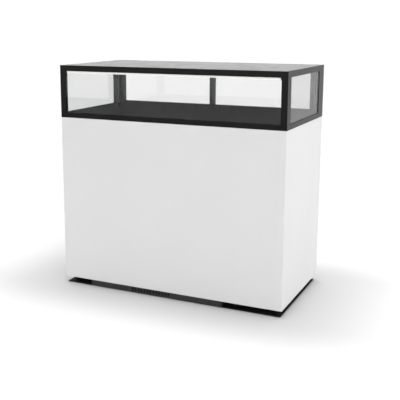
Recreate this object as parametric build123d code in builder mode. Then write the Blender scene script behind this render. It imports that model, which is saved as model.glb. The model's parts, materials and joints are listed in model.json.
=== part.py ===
from build123d import *
import os

os.makedirs("parts", exist_ok=True)

# Overall sizes in millimetres. The origin is on the floor under the middle, the front faces -Y.
case_width = 1250.0
case_depth = 640.0
base_height = 36.0
body_height = 888.0
display_height = 276.0

# Sheets, tubes and the gaps between pieces
body_sheet = 1.2
frame_sheet = 2.0
tube = 30.0
tube_wall = 2.0
seat_gap = 0.3
slip = 0.5
weld_joint = 0.8

# Base
pad_height = 2.0
pad_length = 70.0
pad_width = 40.0
pad_inset = 35.0
pad_corner = 6.0
base_sheet = 3.0
base_inset = 10.0
base_rear_inset = 20.0
base_corner = 4.0
plinth_side_inset = 40.0
plinth_front_recess = 80.0
plinth_rear_recess = 60.0
plinth_flange = 25.0
channel_recess = 40.0
vent_left_inset = 162.0
vent_right_inset = 319.0
vent_foot = 1.0
slot_count = 13
slot_pitch = 17.6
slot_width = 8.0
slot_margin = 4.0
slot_group_inset = 362.0

# Body panels and the storage space
panel_fold = 25.0
panel_corner = 3.0
liner_sheet = 1.0
rear_tube_inset = 56.5
shelf_height = 470.0
shelf_fold = 25.0
shelf_sheet = 1.2
shelf_side_gap = 1.0
shelf_rear_gap = 1.5
bracket_leg = 25.0
bracket_sheet = 2.0
bracket_end_gap = 10.0

# Storage doors
door_recess = 30.0
door_thickness = 20.0
door_meeting_gap = 4.0
door_side_gap = 4.0
door_lift = 4.0
door_corner = 3.0
pivot_inset = 12.0
pin_radius = 4.0
pin_clearance = 0.1
pin_reach = 16.0
collar_radius = 7.0
lug_thickness = 4.0
lug_rise = 24.0
lug_width = 30.0
handle_length = 160.0
handle_width = 12.0
handle_bar = 8.0
handle_reach = 27.0
handle_from_edge = 40.0
handle_corner = 10.0
catch_width = 26.0
catch_height = 40.0
catch_margin = 60.0

# Control fascia
fascia_height = 103.2
fascia_clear = 6.0
fascia_top_gap = 0.8
fascia_side_gap = 0.6
controller_inset = 225.0
bezel_width = 76.0
bezel_height = 34.0
bezel_thickness = 3.0
bezel_corner = 3.0
housing_width = 70.4
housing_height = 28.4
housing_depth = 55.0
cutout_gap = 0.3
window_width = 34.0
window_height = 18.0
window_thickness = 1.0
window_step = 0.1
window_shift = 15.0
key_width = 9.0
key_height = 6.0
key_depth = 5.0
key_proud = 1.0
key_travel = 1.0
key_corner = 1.2
key_edge = 0.4
key_spacing_x = 12.0
key_spacing_z = 9.0
key_shift = -12.0
switch_insets = (153.0, 117.0)
switch_width = 25.0
switch_height = 33.0
switch_lip = 2.0
switch_corner = 2.0
switch_body_width = 21.6
switch_body_height = 30.0
switch_depth = 25.0
rocker_width = 16.4
rocker_height = 24.0
rocker_back = 3.0
rocker_front = 7.5
rocker_dip = 2.5
rocker_gap = 1.6
rocker_pivot_depth = 6.0
rocker_tilt = 8.0
trunnion_radius = 1.5
trunnion_reach = 1.4
gland_inset = 79.0
gland_bore = 5.0
gland_thread = 8.0
gland_nut = 11.0
gland_reach = 22.0
gland_hex_height = 7.0
gland_dome_step = 1.5
gland_dome_round = 3.0
gland_thread_length = 12.0
gland_lock_nut = 5.0
box_inset = 59.0
box_length = 276.0
box_depth = 128.0
box_wall = 1.5
terminal_count = 6
terminal_pitch = 10.0
terminal_from_end = 60.0
terminal_from_back = 45.0
terminal_foot_depth = 24.0
terminal_foot_height = 14.0
terminal_ridge_depth = 12.0
terminal_ridge_height = 6.0
terminal_screw = 3.0
terminal_screw_depth = 5.0
driver_from_end = 80.0
driver_from_back = 35.0
driver_length = 120.0
driver_width = 46.0
driver_height = 28.0
driver_corner = 3.0
fascia_slot_count = 14
fascia_slot_pitch = 12.0
fascia_slot_width = 4.0
fascia_slot_height = 46.0
fascia_slot_inset = 295.0
screw_head = 4.0
screw_head_height = 1.8
screw_shank = 2.0
screw_length = 8.0
screw_inset = 18.0

# Display frame and glass
rail_height = 26.0
rail_web = 40.0
skirt_height = 30.0
front_post_face = 32.0
front_post_side = 52.0
rear_post_face = 30.0
rear_post_side = 88.0
rebate = 12.0
pane_thickness = 6.0
tape = 0.8
pane_lift = 4.0
pane_top_drop = 19.0
liner_drop = 16.0
pane_joint = 0.5
pane_end_gap = 1.0
gasket_inset = 2.0
roof_corner = 2.5

# Light under the roof
light_width = 20.0
light_height = 15.7
light_wall = 1.5
light_setback = 1.2
light_end_gap = 4.0
board_width = 12.0
board_thickness = 1.2
chip_count = 40
chip_size = 4.0
chip_height = 0.8
diffuser_drop = 7.7
diffuser_leg = 4.0
diffuser_round = 3.0

# Sliding doors and their tracks
track_setback = 58.0
channel_width = 14.0
outer_fin = 3.0
middle_fin = 6.0
lower_fin_height = 12.0
track_wall = 2.0
upper_track_height = 20.0
upper_web = 3.7
slider_thickness = 12.0
slider_glass = 5.0
slider_glass_gap = 0.2
meeting_stile = 26.0
grip_stile = 36.0
glass_groove = 6.0
groove_bottom_gap = 0.5
shoe_height = 8.0
top_shoe_height = 12.0
top_lift_gap = 4.0
glider_height = 2.7
glider_length = 30.0
glider_width = 11.0
glider_corner = 2.0
slider_end_gap = 1.0
pull_width = 18.0
pull_length = 110.0
pull_depth = 5.0
pull_inset = 5.0

# Heated deck
deck_thickness = 6.0
deck_side_gap = 1.5
deck_drop = 0.2
tray_sheet = 1.2
mat_thickness = 1.6
mat_count = 3
mat_gap = 16.0
mat_margin = 30.0
mat_corner = 8.0
sensor_radius = 2.5
sensor_length = 30.0
sensor_pocket = 7.0
sensor_pocket_length = 36.0
thermostat_radius = 9.0
thermostat_height = 8.0
thermostat_x = 80.0
thermostat_ears = 36.0
thermostat_ear_width = 10.0
thermostat_ear_sheet = 1.2
blade_pitch = 10.0
blade_sheet = 0.8
blade_width = 6.3
blade_length = 8.0

# Planes and faces worked out from the sizes above
x_side = case_width / 2
y_front = -case_depth / 2
y_rear = case_depth / 2
z_base = pad_height + base_sheet
z_body = base_height
z_frame = z_body + body_height
z_top = z_frame + display_height
z_rail = z_frame + rail_height
z_skirt = z_top - skirt_height

tube_outer_x = x_side - panel_fold - seat_gap
tube_inner_x = tube_outer_x - tube
tube_middle_x = tube_outer_x - tube / 2
tube_front_y = y_front + panel_fold + seat_gap
tube_rear_y = y_rear - rear_tube_inset
front_tube_y = tube_front_y + tube / 2
rear_tube_y = tube_rear_y - tube / 2
z_low_tube = z_body + tube
z_high_tube = z_frame - tube
cross_rail_x = tube_middle_x / 3


def at_y(y):
    # A sketch plane that faces the rear, with its own X along -X and its own Y upwards.
    return Plane(origin=(0, y, 0), x_dir=(-1, 0, 0), z_dir=(0, 1, 0))


# Floor pads: six rubber pads under the base plate
base_middle_y = (y_front + base_inset + y_rear - base_rear_inset) / 2
base_length_y = case_depth - base_inset - base_rear_inset
pad_x = x_side - base_inset - pad_inset - pad_length / 2
pad_y = base_length_y / 2 - pad_inset - pad_width / 2
with BuildPart() as floor_pads:
    with BuildSketch(Plane.XY):
        with Locations((0, base_middle_y)):
            with GridLocations(pad_x, 2 * pad_y, 3, 2):
                RectangleRounded(pad_length, pad_width, pad_corner)
    extrude(amount=pad_height)
floor_pads.part.label = "floor_pads"
export_step(floor_pads.part, "parts/floor_pads.step")

# Base plate: flat black plate, set in under the white body
with BuildPart() as base_plate:
    with BuildSketch(Plane.XY.offset(pad_height)):
        with Locations((0, base_middle_y)):
            RectangleRounded(case_width - 2 * base_inset, base_length_y, base_corner)
    extrude(amount=base_sheet)
base_plate.part.label = "base_plate"
export_step(base_plate.part, "parts/base_plate.step")

# Plinth walls: channels folded inwards at top and bottom, which carry the body
plinth_x = x_side - plinth_side_inset
plinth_y0 = y_front + plinth_front_recess
plinth_y1 = y_rear - plinth_rear_recess
plinth_tall = z_body - z_base
plinth_mid_z = z_base + plinth_tall / 2
channel_start = y_front + channel_recess
with BuildPart() as plinth_walls:
    for side in (-1, 1):
        with BuildSketch(Plane.XZ.offset(-plinth_y1)):
            with Locations((side * (plinth_x - plinth_flange / 2), plinth_mid_z)):
                Rectangle(plinth_flange, plinth_tall)
            with Locations((side * (plinth_x - frame_sheet - plinth_flange / 2), plinth_mid_z)):
                Rectangle(plinth_flange, plinth_tall - 2 * frame_sheet, mode=Mode.SUBTRACT)
        extrude(amount=plinth_y1 - channel_start)
    for wall_y, inward in ((plinth_y0, 1), (plinth_y1, -1)):
        with BuildSketch(Plane.YZ):
            with Locations((wall_y + inward * plinth_flange / 2, plinth_mid_z)):
                Rectangle(plinth_flange, plinth_tall)
            with Locations((wall_y + inward * (plinth_flange / 2 + frame_sheet), plinth_mid_z)):
                Rectangle(plinth_flange, plinth_tall - 2 * frame_sheet, mode=Mode.SUBTRACT)
        extrude(amount=plinth_x - plinth_flange - weld_joint, both=True)
plinth_walls.part.label = "plinth_walls"
export_step(plinth_walls.part, "parts/plinth_walls.step")

# Vent panel: slotted cover in front of the plinth, its two ends folded back to the wall,
# with an apron that hides the edge of the base plate
vent_start = y_front + base_inset - seat_gap - body_sheet
vent_left = -x_side + vent_left_inset
vent_right = x_side - vent_right_inset
vent_middle = (vent_left + vent_right) / 2
slot_group_middle = vent_left + slot_group_inset
vent_depth = plinth_y0 - vent_start - seat_gap
with BuildPart() as vent_panel:
    with BuildSketch(Plane.XY.offset(z_base)):
        with Locations((vent_middle, vent_start + vent_depth / 2)):
            Rectangle(vent_right - vent_left, vent_depth)
        with Locations((vent_middle, vent_start + body_sheet + vent_depth / 2)):
            Rectangle(vent_right - vent_left - 2 * body_sheet, vent_depth, mode=Mode.SUBTRACT)
    extrude(amount=plinth_tall - seat_gap)
    with BuildSketch(Plane.XY.offset(vent_foot)):
        with Locations((vent_middle, vent_start + body_sheet / 2)):
            Rectangle(vent_right - vent_left, body_sheet)
    extrude(amount=z_base - vent_foot)
    with BuildSketch(Plane.XZ.offset(-vent_start - body_sheet)):
        with Locations((slot_group_middle, plinth_mid_z)):
            with GridLocations(slot_pitch, 1, slot_count, 1):
                SlotOverall(plinth_tall - 2 * slot_margin, slot_width, rotation=90)
    extrude(amount=2 * body_sheet, mode=Mode.SUBTRACT)
vent_panel.part.label = "vent_panel"
export_step(vent_panel.part, "parts/vent_panel.step")

# Frame rails: square tubes round the foot and the head of the body, with two deck bearers
rail_span_y = rear_tube_y - front_tube_y - tube
rail_mid_y = (rear_tube_y + front_tube_y) / 2
with BuildPart() as frame_rails:
    for z_rail_mid in (z_body + tube / 2, z_frame - tube / 2):
        with BuildSketch(Plane.YZ):
            with Locations((front_tube_y, z_rail_mid), (rear_tube_y, z_rail_mid)):
                Rectangle(tube, tube)
                Rectangle(tube - 2 * tube_wall, tube - 2 * tube_wall, mode=Mode.SUBTRACT)
        extrude(amount=tube_outer_x, both=True)
    with BuildSketch(Plane.XZ.offset(-rail_mid_y)):
        rail_spots = [(side * tube_middle_x, z) for side in (-1, 1)
                      for z in (z_body + tube / 2, z_frame - tube / 2)]
        rail_spots += [(side * cross_rail_x, z_frame - tube / 2) for side in (-1, 1)]
        with Locations(*rail_spots):
            Rectangle(tube, tube)
            Rectangle(tube - 2 * tube_wall, tube - 2 * tube_wall, mode=Mode.SUBTRACT)
    extrude(amount=rail_span_y / 2 - seat_gap, both=True)
frame_rails.part.label = "frame_rails"
export_step(frame_rails.part, "parts/frame_rails.step")

# Frame uprights: four corner tubes and the rear middle one where the doors meet
with BuildPart() as frame_uprights:
    with BuildSketch(Plane.XY.offset(z_low_tube)):
        with Locations(
            (-tube_middle_x, front_tube_y), (tube_middle_x, front_tube_y),
            (-tube_middle_x, rear_tube_y), (tube_middle_x, rear_tube_y), (0, rear_tube_y),
        ):
            Rectangle(tube, tube)
            Rectangle(tube - 2 * tube_wall, tube - 2 * tube_wall, mode=Mode.SUBTRACT)
    extrude(amount=z_high_tube - z_low_tube)
frame_uprights.part.label = "frame_uprights"
export_step(frame_uprights.part, "parts/frame_uprights.step")

# Front panel: one shallow folded tray across the whole front, wrapped round both corners
panel_tall = body_height - slip
with BuildPart() as front_panel:
    with BuildSketch(Plane.XY.offset(z_body)):
        with Locations((0, y_front + panel_fold / 2)):
            Rectangle(case_width, panel_fold)
    extrude(amount=panel_tall)
    fillet(front_panel.edges().filter_by(Axis.Z).group_by(Axis.Y)[0], panel_corner)
    offset(amount=-body_sheet, openings=front_panel.faces().sort_by(Axis.Y)[-1])
front_panel.part.label = "front_panel"
export_step(front_panel.part, "parts/front_panel.step")

# Side panels: folded trays whose rear edge returns inwards and forwards beside the doors
side_start = y_front + panel_fold + weld_joint
lip_depth = y_rear - tube_rear_y - seat_gap
for side, name in ((-1, "left_panel"), (1, "right_panel")):
    with BuildPart() as side_panel:
        with BuildSketch(Plane.XY.offset(z_body)):
            with Locations((side * (x_side - panel_fold / 2), (side_start + y_rear) / 2)):
                Rectangle(panel_fold, y_rear - side_start)
        extrude(amount=panel_tall)
        rear_corner = side_panel.edges().filter_by(Axis.Z).group_by(Axis.Y)[-1]
        fillet(rear_corner.sort_by(Axis.X)[0 if side < 0 else -1], panel_corner)
        inner_face = side_panel.faces().sort_by(Axis.X)[-1 if side < 0 else 0]
        offset(amount=-body_sheet, openings=inner_face)
        with BuildSketch(Plane.XY.offset(z_body)):
            with Locations((side * (x_side - panel_fold + body_sheet / 2), y_rear - lip_depth / 2)):
                Rectangle(body_sheet, lip_depth)
        extrude(amount=panel_tall)
    side_panel.part.label = name
    export_step(side_panel.part, f"parts/{name}.step")

# Storage liner: floor, front sheet and two side sheets inside the tubes
liner_x = tube_inner_x - seat_gap
liner_front_y = tube_front_y + tube + seat_gap
liner_rear_y = tube_rear_y - seat_gap
z_liner = z_low_tube + liner_sheet
z_liner_top = z_high_tube - slip
with BuildPart() as storage_liner:
    with BuildSketch(Plane.XY.offset(z_low_tube)):
        with Locations((0, (tube_front_y + tube_rear_y) / 2)):
            Rectangle(2 * liner_x, tube_rear_y - tube_front_y - 2 * slip)
        with Locations((0, rear_tube_y)):
            Rectangle(tube + 2 * seat_gap, tube + 2 * slip, mode=Mode.SUBTRACT)
    extrude(amount=liner_sheet)
    with BuildSketch(Plane.XY.offset(z_liner + seat_gap)):
        with Locations((0, liner_front_y + liner_sheet / 2)):
            Rectangle(2 * liner_x, liner_sheet)
        for side in (-1, 1):
            with Locations((side * (liner_x - liner_sheet / 2), (liner_front_y + liner_sheet
                            + seat_gap + liner_rear_y) / 2)):
                Rectangle(liner_sheet, liner_rear_y - liner_front_y - liner_sheet - seat_gap)
    extrude(amount=z_liner_top - z_liner - seat_gap)
storage_liner.part.label = "storage_liner"
export_step(storage_liner.part, "parts/storage_liner.step")

# Work shelf: tray with its edges folded down, on two angle brackets
shelf_x = liner_x - liner_sheet - shelf_side_gap
shelf_front_y = liner_front_y + liner_sheet + seat_gap
shelf_rear_y = rear_tube_y - tube / 2 - shelf_rear_gap
with BuildPart() as work_shelf:
    with BuildSketch(Plane.XY.offset(shelf_height - shelf_fold)):
        with Locations((0, (shelf_front_y + shelf_rear_y) / 2)):
            Rectangle(2 * shelf_x, shelf_rear_y - shelf_front_y)
    extrude(amount=shelf_fold)
    offset(amount=-shelf_sheet, openings=work_shelf.faces().sort_by(Axis.Z)[0])
work_shelf.part.label = "work_shelf"
export_step(work_shelf.part, "parts/work_shelf.step")

bracket_x = liner_x - liner_sheet - seat_gap
bracket_mid_z = shelf_height - shelf_fold - bracket_leg / 2
bracket_length = shelf_rear_y - shelf_front_y - 2 * bracket_end_gap
with BuildPart() as shelf_brackets:
    with BuildSketch(Plane.XZ.offset(-(shelf_front_y + shelf_rear_y) / 2)):
        for side in (-1, 1):
            with Locations((side * (bracket_x - bracket_leg / 2), bracket_mid_z)):
                Rectangle(bracket_leg, bracket_leg)
            with Locations((side * (bracket_x - bracket_sheet - bracket_leg / 2),
                            bracket_mid_z - bracket_sheet)):
                Rectangle(bracket_leg, bracket_leg, mode=Mode.SUBTRACT)
    extrude(amount=bracket_length / 2, both=True)
shelf_brackets.part.label = "shelf_brackets"
export_step(shelf_brackets.part, "parts/shelf_brackets.step")

# Pivot lugs: flat plates welded to the rear uprights, above and below the storage doors
door_outer_x = x_side - panel_fold - door_side_gap
door_width = door_outer_x - door_meeting_gap / 2
door_rear_y = y_rear - door_recess
door_front_y = door_rear_y - door_thickness
door_mid_y = (door_rear_y + door_front_y) / 2
pivot_x = door_outer_x - pivot_inset
z_low_lug = z_body + lug_rise
z_door = z_low_lug + lug_thickness + door_lift
fascia_top = z_frame - fascia_top_gap
fascia_bottom = fascia_top - fascia_height
z_high_lug = fascia_bottom - fascia_clear - lug_thickness
z_door_top = z_high_lug - door_lift
door_height = z_door_top - z_door
lug_reach = door_mid_y - tube_rear_y
with BuildPart() as pivot_lugs:
    for z_lug in (z_low_lug, z_high_lug):
        for side in (-1, 1):
            with BuildSketch(Plane.XY.offset(z_lug)):
                with Locations((side * pivot_x, tube_rear_y + lug_reach / 2)):
                    Rectangle(lug_width, lug_reach)
                with Locations((side * pivot_x, door_mid_y)):
                    Circle(lug_width / 2)
                    Circle(pin_radius + pin_clearance / 2, mode=Mode.SUBTRACT)
            extrude(amount=lug_thickness)
pivot_lugs.part.label = "pivot_lugs"
export_step(pivot_lugs.part, "parts/pivot_lugs.step")

# Pivot pins: each stands in its lug, with a collar that the door turns on
with BuildPart() as pivot_pins:
    for side in (-1, 1):
        for z_foot, up in ((z_low_lug, 1), (z_high_lug + lug_thickness, -1)):
            pin_plane = Plane(origin=(side * pivot_x, door_mid_y, z_foot), z_dir=(0, 0, up))
            with BuildSketch(pin_plane):
                Circle(pin_radius)
            extrude(amount=lug_thickness + door_lift + pin_reach)
            with BuildSketch(pin_plane.offset(lug_thickness)):
                Circle(collar_radius)
            extrude(amount=door_lift - seat_gap)
pivot_pins.part.label = "pivot_pins"
export_step(pivot_pins.part, "parts/pivot_pins.step")

rim = body_sheet + seat_gap

# Storage doors: folded pan, flat backing inside its rim, and a bow handle at the meeting edge
for side, name in ((-1, "left"), (1, "right")):
    door_mid_x = side * (door_outer_x - door_width / 2)
    with BuildPart() as door_pan:
        with BuildSketch(Plane.XY.offset(z_door)):
            with Locations((door_mid_x, door_mid_y)):
                Rectangle(door_width, door_thickness)
        extrude(amount=door_height)
        fillet(door_pan.edges().filter_by(Axis.Z).group_by(Axis.Y)[-1], door_corner)
        offset(amount=-body_sheet, openings=door_pan.faces().sort_by(Axis.Y)[0])
        with BuildSketch(Plane.XY.offset(z_door)):
            with Locations((side * pivot_x, door_mid_y)):
                Circle(pin_radius + pin_clearance)
        extrude(amount=door_height, mode=Mode.SUBTRACT)
    door_pan.part.label = f"{name}_door_pan"
    export_step(door_pan.part, f"parts/{name}_door_pan.step")

    with BuildPart() as door_backing:
        with BuildSketch(Plane.XZ.offset(-door_front_y - seat_gap)):
            with Locations((door_mid_x, z_door + door_height / 2)):
                Rectangle(door_width - 2 * rim, door_height - 2 * rim)
        extrude(amount=-liner_sheet)
    door_backing.part.label = f"{name}_door_backing"
    export_step(door_backing.part, f"parts/{name}_door_backing.step")

    with BuildPart() as door_handle:
        with BuildSketch(Plane.YZ.offset(side * handle_from_edge)):
            with Locations((door_rear_y + handle_reach / 2, z_door + door_height / 2)):
                grip_outline = Rectangle(handle_reach, handle_length)
            fillet(grip_outline.vertices().sort_by(Axis.Y)[-2:], handle_corner)
            with Locations((door_rear_y + (handle_reach - handle_bar) / 2, z_door + door_height / 2)):
                Rectangle(handle_reach - handle_bar, handle_length - 2 * handle_bar, mode=Mode.SUBTRACT)
        extrude(amount=handle_width / 2, both=True)
    door_handle.part.label = f"{name}_door_handle"
    export_step(door_handle.part, f"parts/{name}_door_handle.step")

# Door catches: magnets on the middle upright, which hold both doors shut
with BuildPart() as door_catches:
    for z_catch in (z_door + catch_margin, z_door_top - catch_margin - catch_height):
        with BuildSketch(Plane.XY.offset(z_catch)):
            with Locations((0, (tube_rear_y + door_front_y - seat_gap) / 2)):
                Rectangle(catch_width, door_front_y - seat_gap - tube_rear_y)
        extrude(amount=catch_height)
door_catches.part.label = "door_catches"
export_step(door_catches.part, "parts/door_catches.step")

# Rear fascia: folded tray above the doors, with cut-outs for the controls and vent slots
fascia_mid_z = (fascia_bottom + fascia_top) / 2
fascia_x = x_side - panel_fold - fascia_side_gap
fascia_front_y = tube_rear_y + seat_gap
skin_y = door_rear_y - body_sheet
controller_x = -x_side + controller_inset
switch_xs = [-x_side + inset for inset in switch_insets]
gland_x = -x_side + gland_inset
fascia_slot_x = x_side - fascia_slot_inset
screw_span_x = fascia_x - screw_inset
screw_span_z = fascia_height - 2 * screw_inset
with BuildPart() as rear_fascia:
    with BuildSketch(Plane.XY.offset(fascia_bottom)):
        with Locations((0, (fascia_front_y + door_rear_y) / 2)):
            Rectangle(2 * fascia_x, door_rear_y - fascia_front_y)
    extrude(amount=fascia_top - fascia_bottom)
    offset(amount=-body_sheet, openings=rear_fascia.faces().sort_by(Axis.Y)[0])
    with BuildSketch(Plane.XZ.offset(-door_rear_y)):
        with Locations((controller_x, fascia_mid_z)):
            Rectangle(housing_width + 2 * cutout_gap, housing_height + 2 * cutout_gap)
        with Locations(*[(x, fascia_mid_z) for x in switch_xs]):
            Rectangle(switch_body_width + 2 * cutout_gap, switch_body_height + 2 * cutout_gap)
        with Locations((gland_x, fascia_mid_z)):
            Circle(gland_thread + cutout_gap)
        with Locations((fascia_slot_x, fascia_mid_z)):
            with GridLocations(fascia_slot_pitch, 1, fascia_slot_count, 1):
                SlotOverall(fascia_slot_height, fascia_slot_width, rotation=90)
        with Locations((0, fascia_mid_z)):
            with GridLocations(screw_span_x, screw_span_z, 3, 2):
                Circle(screw_shank + cutout_gap)
    extrude(amount=2 * body_sheet, mode=Mode.SUBTRACT)
rear_fascia.part.label = "rear_fascia"
export_step(rear_fascia.part, "parts/rear_fascia.step")

# Fascia screws: pan heads along the top and bottom of the fascia
with BuildPart() as fascia_screws:
    for start, radius, length in (
        (door_rear_y, screw_head, screw_head_height),
        (door_rear_y - screw_length, screw_shank, screw_length),
    ):
        with BuildSketch(at_y(start)):
            with Locations((0, fascia_mid_z)):
                with GridLocations(screw_span_x, screw_span_z, 3, 2):
                    Circle(radius)
        extrude(amount=length)
fascia_screws.part.label = "fascia_screws"
export_step(fascia_screws.part, "parts/fascia_screws.step")

# Temperature controller: bezel on the fascia, housing through the cut-out, window and key wells
key_spots = {
    "key_set": (key_shift, 0.0),
    "key_up": (key_shift - key_spacing_x, key_spacing_z / 2),
    "key_down": (key_shift - key_spacing_x, -key_spacing_z / 2),
}
bezel_y = door_rear_y + bezel_thickness
key_well = key_depth - key_proud + key_travel + seat_gap
with BuildPart() as controller_body:
    with BuildSketch(at_y(door_rear_y)):
        with Locations((-controller_x, fascia_mid_z)):
            RectangleRounded(bezel_width, bezel_height, bezel_corner)
    extrude(amount=bezel_thickness)
    with BuildSketch(at_y(bezel_y - housing_depth)):
        with Locations((-controller_x, fascia_mid_z)):
            Rectangle(housing_width, housing_height)
    extrude(amount=housing_depth - bezel_thickness)
    with BuildSketch(at_y(bezel_y)):
        with Locations((-controller_x - window_shift, fascia_mid_z)):
            Rectangle(window_width, window_height)
    extrude(amount=-window_thickness, mode=Mode.SUBTRACT)
    with BuildSketch(at_y(bezel_y)):
        for key_x, key_z in key_spots.values():
            with Locations((-controller_x - key_x, fascia_mid_z + key_z)):
                Rectangle(key_width + 2 * cutout_gap, key_height + 2 * cutout_gap)
    extrude(amount=-key_well, mode=Mode.SUBTRACT)
controller_body.part.label = "controller_body"
export_step(controller_body.part, "parts/controller_body.step")

with BuildPart() as controller_window:
    with BuildSketch(at_y(bezel_y - window_thickness)):
        with Locations((-controller_x - window_shift, fascia_mid_z)):
            Rectangle(window_width - 2 * seat_gap, window_height - 2 * seat_gap)
    extrude(amount=window_thickness - window_step)
controller_window.part.label = "controller_window"
export_step(controller_window.part, "parts/controller_window.step")

for name, (key_x, key_z) in key_spots.items():
    with BuildPart() as key:
        with BuildSketch(at_y(bezel_y + key_proud - key_depth)):
            with Locations((-controller_x - key_x, fascia_mid_z + key_z)):
                RectangleRounded(key_width, key_height, key_corner)
        extrude(amount=key_depth)
        fillet(key.faces().sort_by(Axis.Y)[-1].edges(), key_edge)
    key.part.label = name
    export_step(key.part, f"parts/{name}.step")

# Switch frames: two snap-in frames with an open well for the rocker
pivot_y = door_rear_y - rocker_pivot_depth
well_back = pivot_y - rocker_height / 2 - rocker_gap
with BuildPart() as switch_frames:
    for switch_x in switch_xs:
        with BuildSketch(at_y(door_rear_y)):
            with Locations((-switch_x, fascia_mid_z)):
                RectangleRounded(switch_width, switch_height, switch_corner)
        extrude(amount=switch_lip)
        with BuildSketch(at_y(door_rear_y - switch_depth)):
            with Locations((-switch_x, fascia_mid_z)):
                Rectangle(switch_body_width, switch_body_height)
        extrude(amount=switch_depth)
        with BuildSketch(at_y(door_rear_y + switch_lip)):
            with Locations((-switch_x, fascia_mid_z)):
                Rectangle(rocker_width + 2 * cutout_gap, rocker_height + 2 * rocker_gap)
        extrude(amount=well_back - door_rear_y - switch_lip, mode=Mode.SUBTRACT)
        with BuildSketch(Plane.YZ.offset(switch_x)):
            with Locations((pivot_y, fascia_mid_z)):
                Circle(trunnion_radius + pin_clearance)
        extrude(amount=rocker_width / 2 + trunnion_reach + pin_clearance, both=True, mode=Mode.SUBTRACT)
switch_frames.part.label = "switch_frames"
export_step(switch_frames.part, "parts/switch_frames.step")

# Rockers: dished face and two trunnions, at rest with the lower half pressed out
for switch_x, name in zip(switch_xs, ("power_rocker", "light_rocker")):
    outward = Vector(0, 1, 0).rotate(Axis.X, -rocker_tilt)
    rocker_plane = Plane(origin=(switch_x, pivot_y, fascia_mid_z), x_dir=outward, z_dir=(1, 0, 0))
    with BuildPart() as rocker:
        with BuildSketch(rocker_plane):
            with BuildLine():
                Polyline(
                    (-rocker_back, -rocker_height / 2), (rocker_front, -rocker_height / 2),
                    (rocker_front - rocker_dip, 0), (rocker_front, rocker_height / 2),
                    (-rocker_back, rocker_height / 2), close=True,
                )
            make_face()
        extrude(amount=rocker_width / 2, both=True)
        with BuildSketch(rocker_plane):
            Circle(trunnion_radius)
        extrude(amount=rocker_width / 2 + trunnion_reach, both=True)
    rocker.part.label = name
    export_step(rocker.part, f"parts/{name}.step")

# Electrics box: open towards the fascia, behind the controls
box_y1 = skin_y - seat_gap
box_y0 = box_y1 - box_depth
box_z0 = fascia_bottom + body_sheet + seat_gap
box_left = -x_side + box_inset
box_right = box_left + box_length
box_mid_x = (box_left + box_right) / 2
with BuildPart() as electrics_box:
    with BuildSketch(Plane.XY.offset(box_z0)):
        with Locations((box_mid_x, (box_y0 + box_y1) / 2)):
            Rectangle(box_right - box_left, box_depth)
    extrude(amount=z_high_tube - seat_gap - box_z0)
    offset(amount=-box_wall, openings=electrics_box.faces().sort_by(Axis.Y)[-1])
electrics_box.part.label = "electrics_box"
export_step(electrics_box.part, "parts/electrics_box.step")

# Terminal block and LED driver stand on the floor of the electrics box
z_box_floor = box_z0 + box_wall
terminal_spot = (box_right - terminal_from_end, box_y0 + terminal_from_back)
with BuildPart() as terminal_block:
    with BuildSketch(Plane.XY.offset(z_box_floor)):
        with Locations(terminal_spot):
            Rectangle(terminal_count * terminal_pitch, terminal_foot_depth)
    extrude(amount=terminal_foot_height)
    with BuildSketch(Plane.XY.offset(z_box_floor + terminal_foot_height)):
        with Locations(terminal_spot):
            Rectangle(terminal_count * terminal_pitch, terminal_ridge_depth)
    extrude(amount=terminal_ridge_height)
    with BuildSketch(Plane.XY.offset(z_box_floor + terminal_foot_height + terminal_ridge_height)):
        with Locations(terminal_spot):
            with GridLocations(terminal_pitch, 1, terminal_count, 1):
                Circle(terminal_screw)
    extrude(amount=-terminal_screw_depth, mode=Mode.SUBTRACT)
terminal_block.part.label = "terminal_block"
export_step(terminal_block.part, "parts/terminal_block.step")

with BuildPart() as led_driver:
    with BuildSketch(Plane.XY.offset(z_box_floor)):
        with Locations((box_left + driver_from_end, box_y0 + driver_from_back)):
            RectangleRounded(driver_length, driver_width, driver_corner)
    extrude(amount=driver_height)
led_driver.part.label = "led_driver"
export_step(led_driver.part, "parts/led_driver.step")

# Cable gland: hexagon and dome nut outside, thread and lock nut inside the fascia
with BuildPart() as cable_gland:
    with BuildSketch(at_y(door_rear_y)):
        with Locations((-gland_x, fascia_mid_z)):
            RegularPolygon(gland_nut, 6)
    extrude(amount=gland_hex_height)
    with BuildSketch(at_y(door_rear_y + gland_hex_height)):
        with Locations((-gland_x, fascia_mid_z)):
            Circle(gland_nut - gland_dome_step)
    extrude(amount=gland_reach - gland_hex_height)
    fillet(cable_gland.faces().sort_by(Axis.Y)[-1].edges(), gland_dome_round)
    with BuildSketch(at_y(door_rear_y)):
        with Locations((-gland_x, fascia_mid_z)):
            Circle(gland_thread)
    extrude(amount=-gland_thread_length)
    with BuildSketch(at_y(skin_y - seat_gap)):
        with Locations((-gland_x, fascia_mid_z)):
            RegularPolygon(gland_nut, 6)
    extrude(amount=-gland_lock_nut)
    with BuildSketch(at_y(door_rear_y + gland_reach)):
        with Locations((-gland_x, fascia_mid_z)):
            Circle(gland_bore)
    extrude(amount=-gland_reach - gland_thread_length, mode=Mode.SUBTRACT)
cable_gland.part.label = "cable_gland"
export_step(cable_gland.part, "parts/cable_gland.step")

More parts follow.
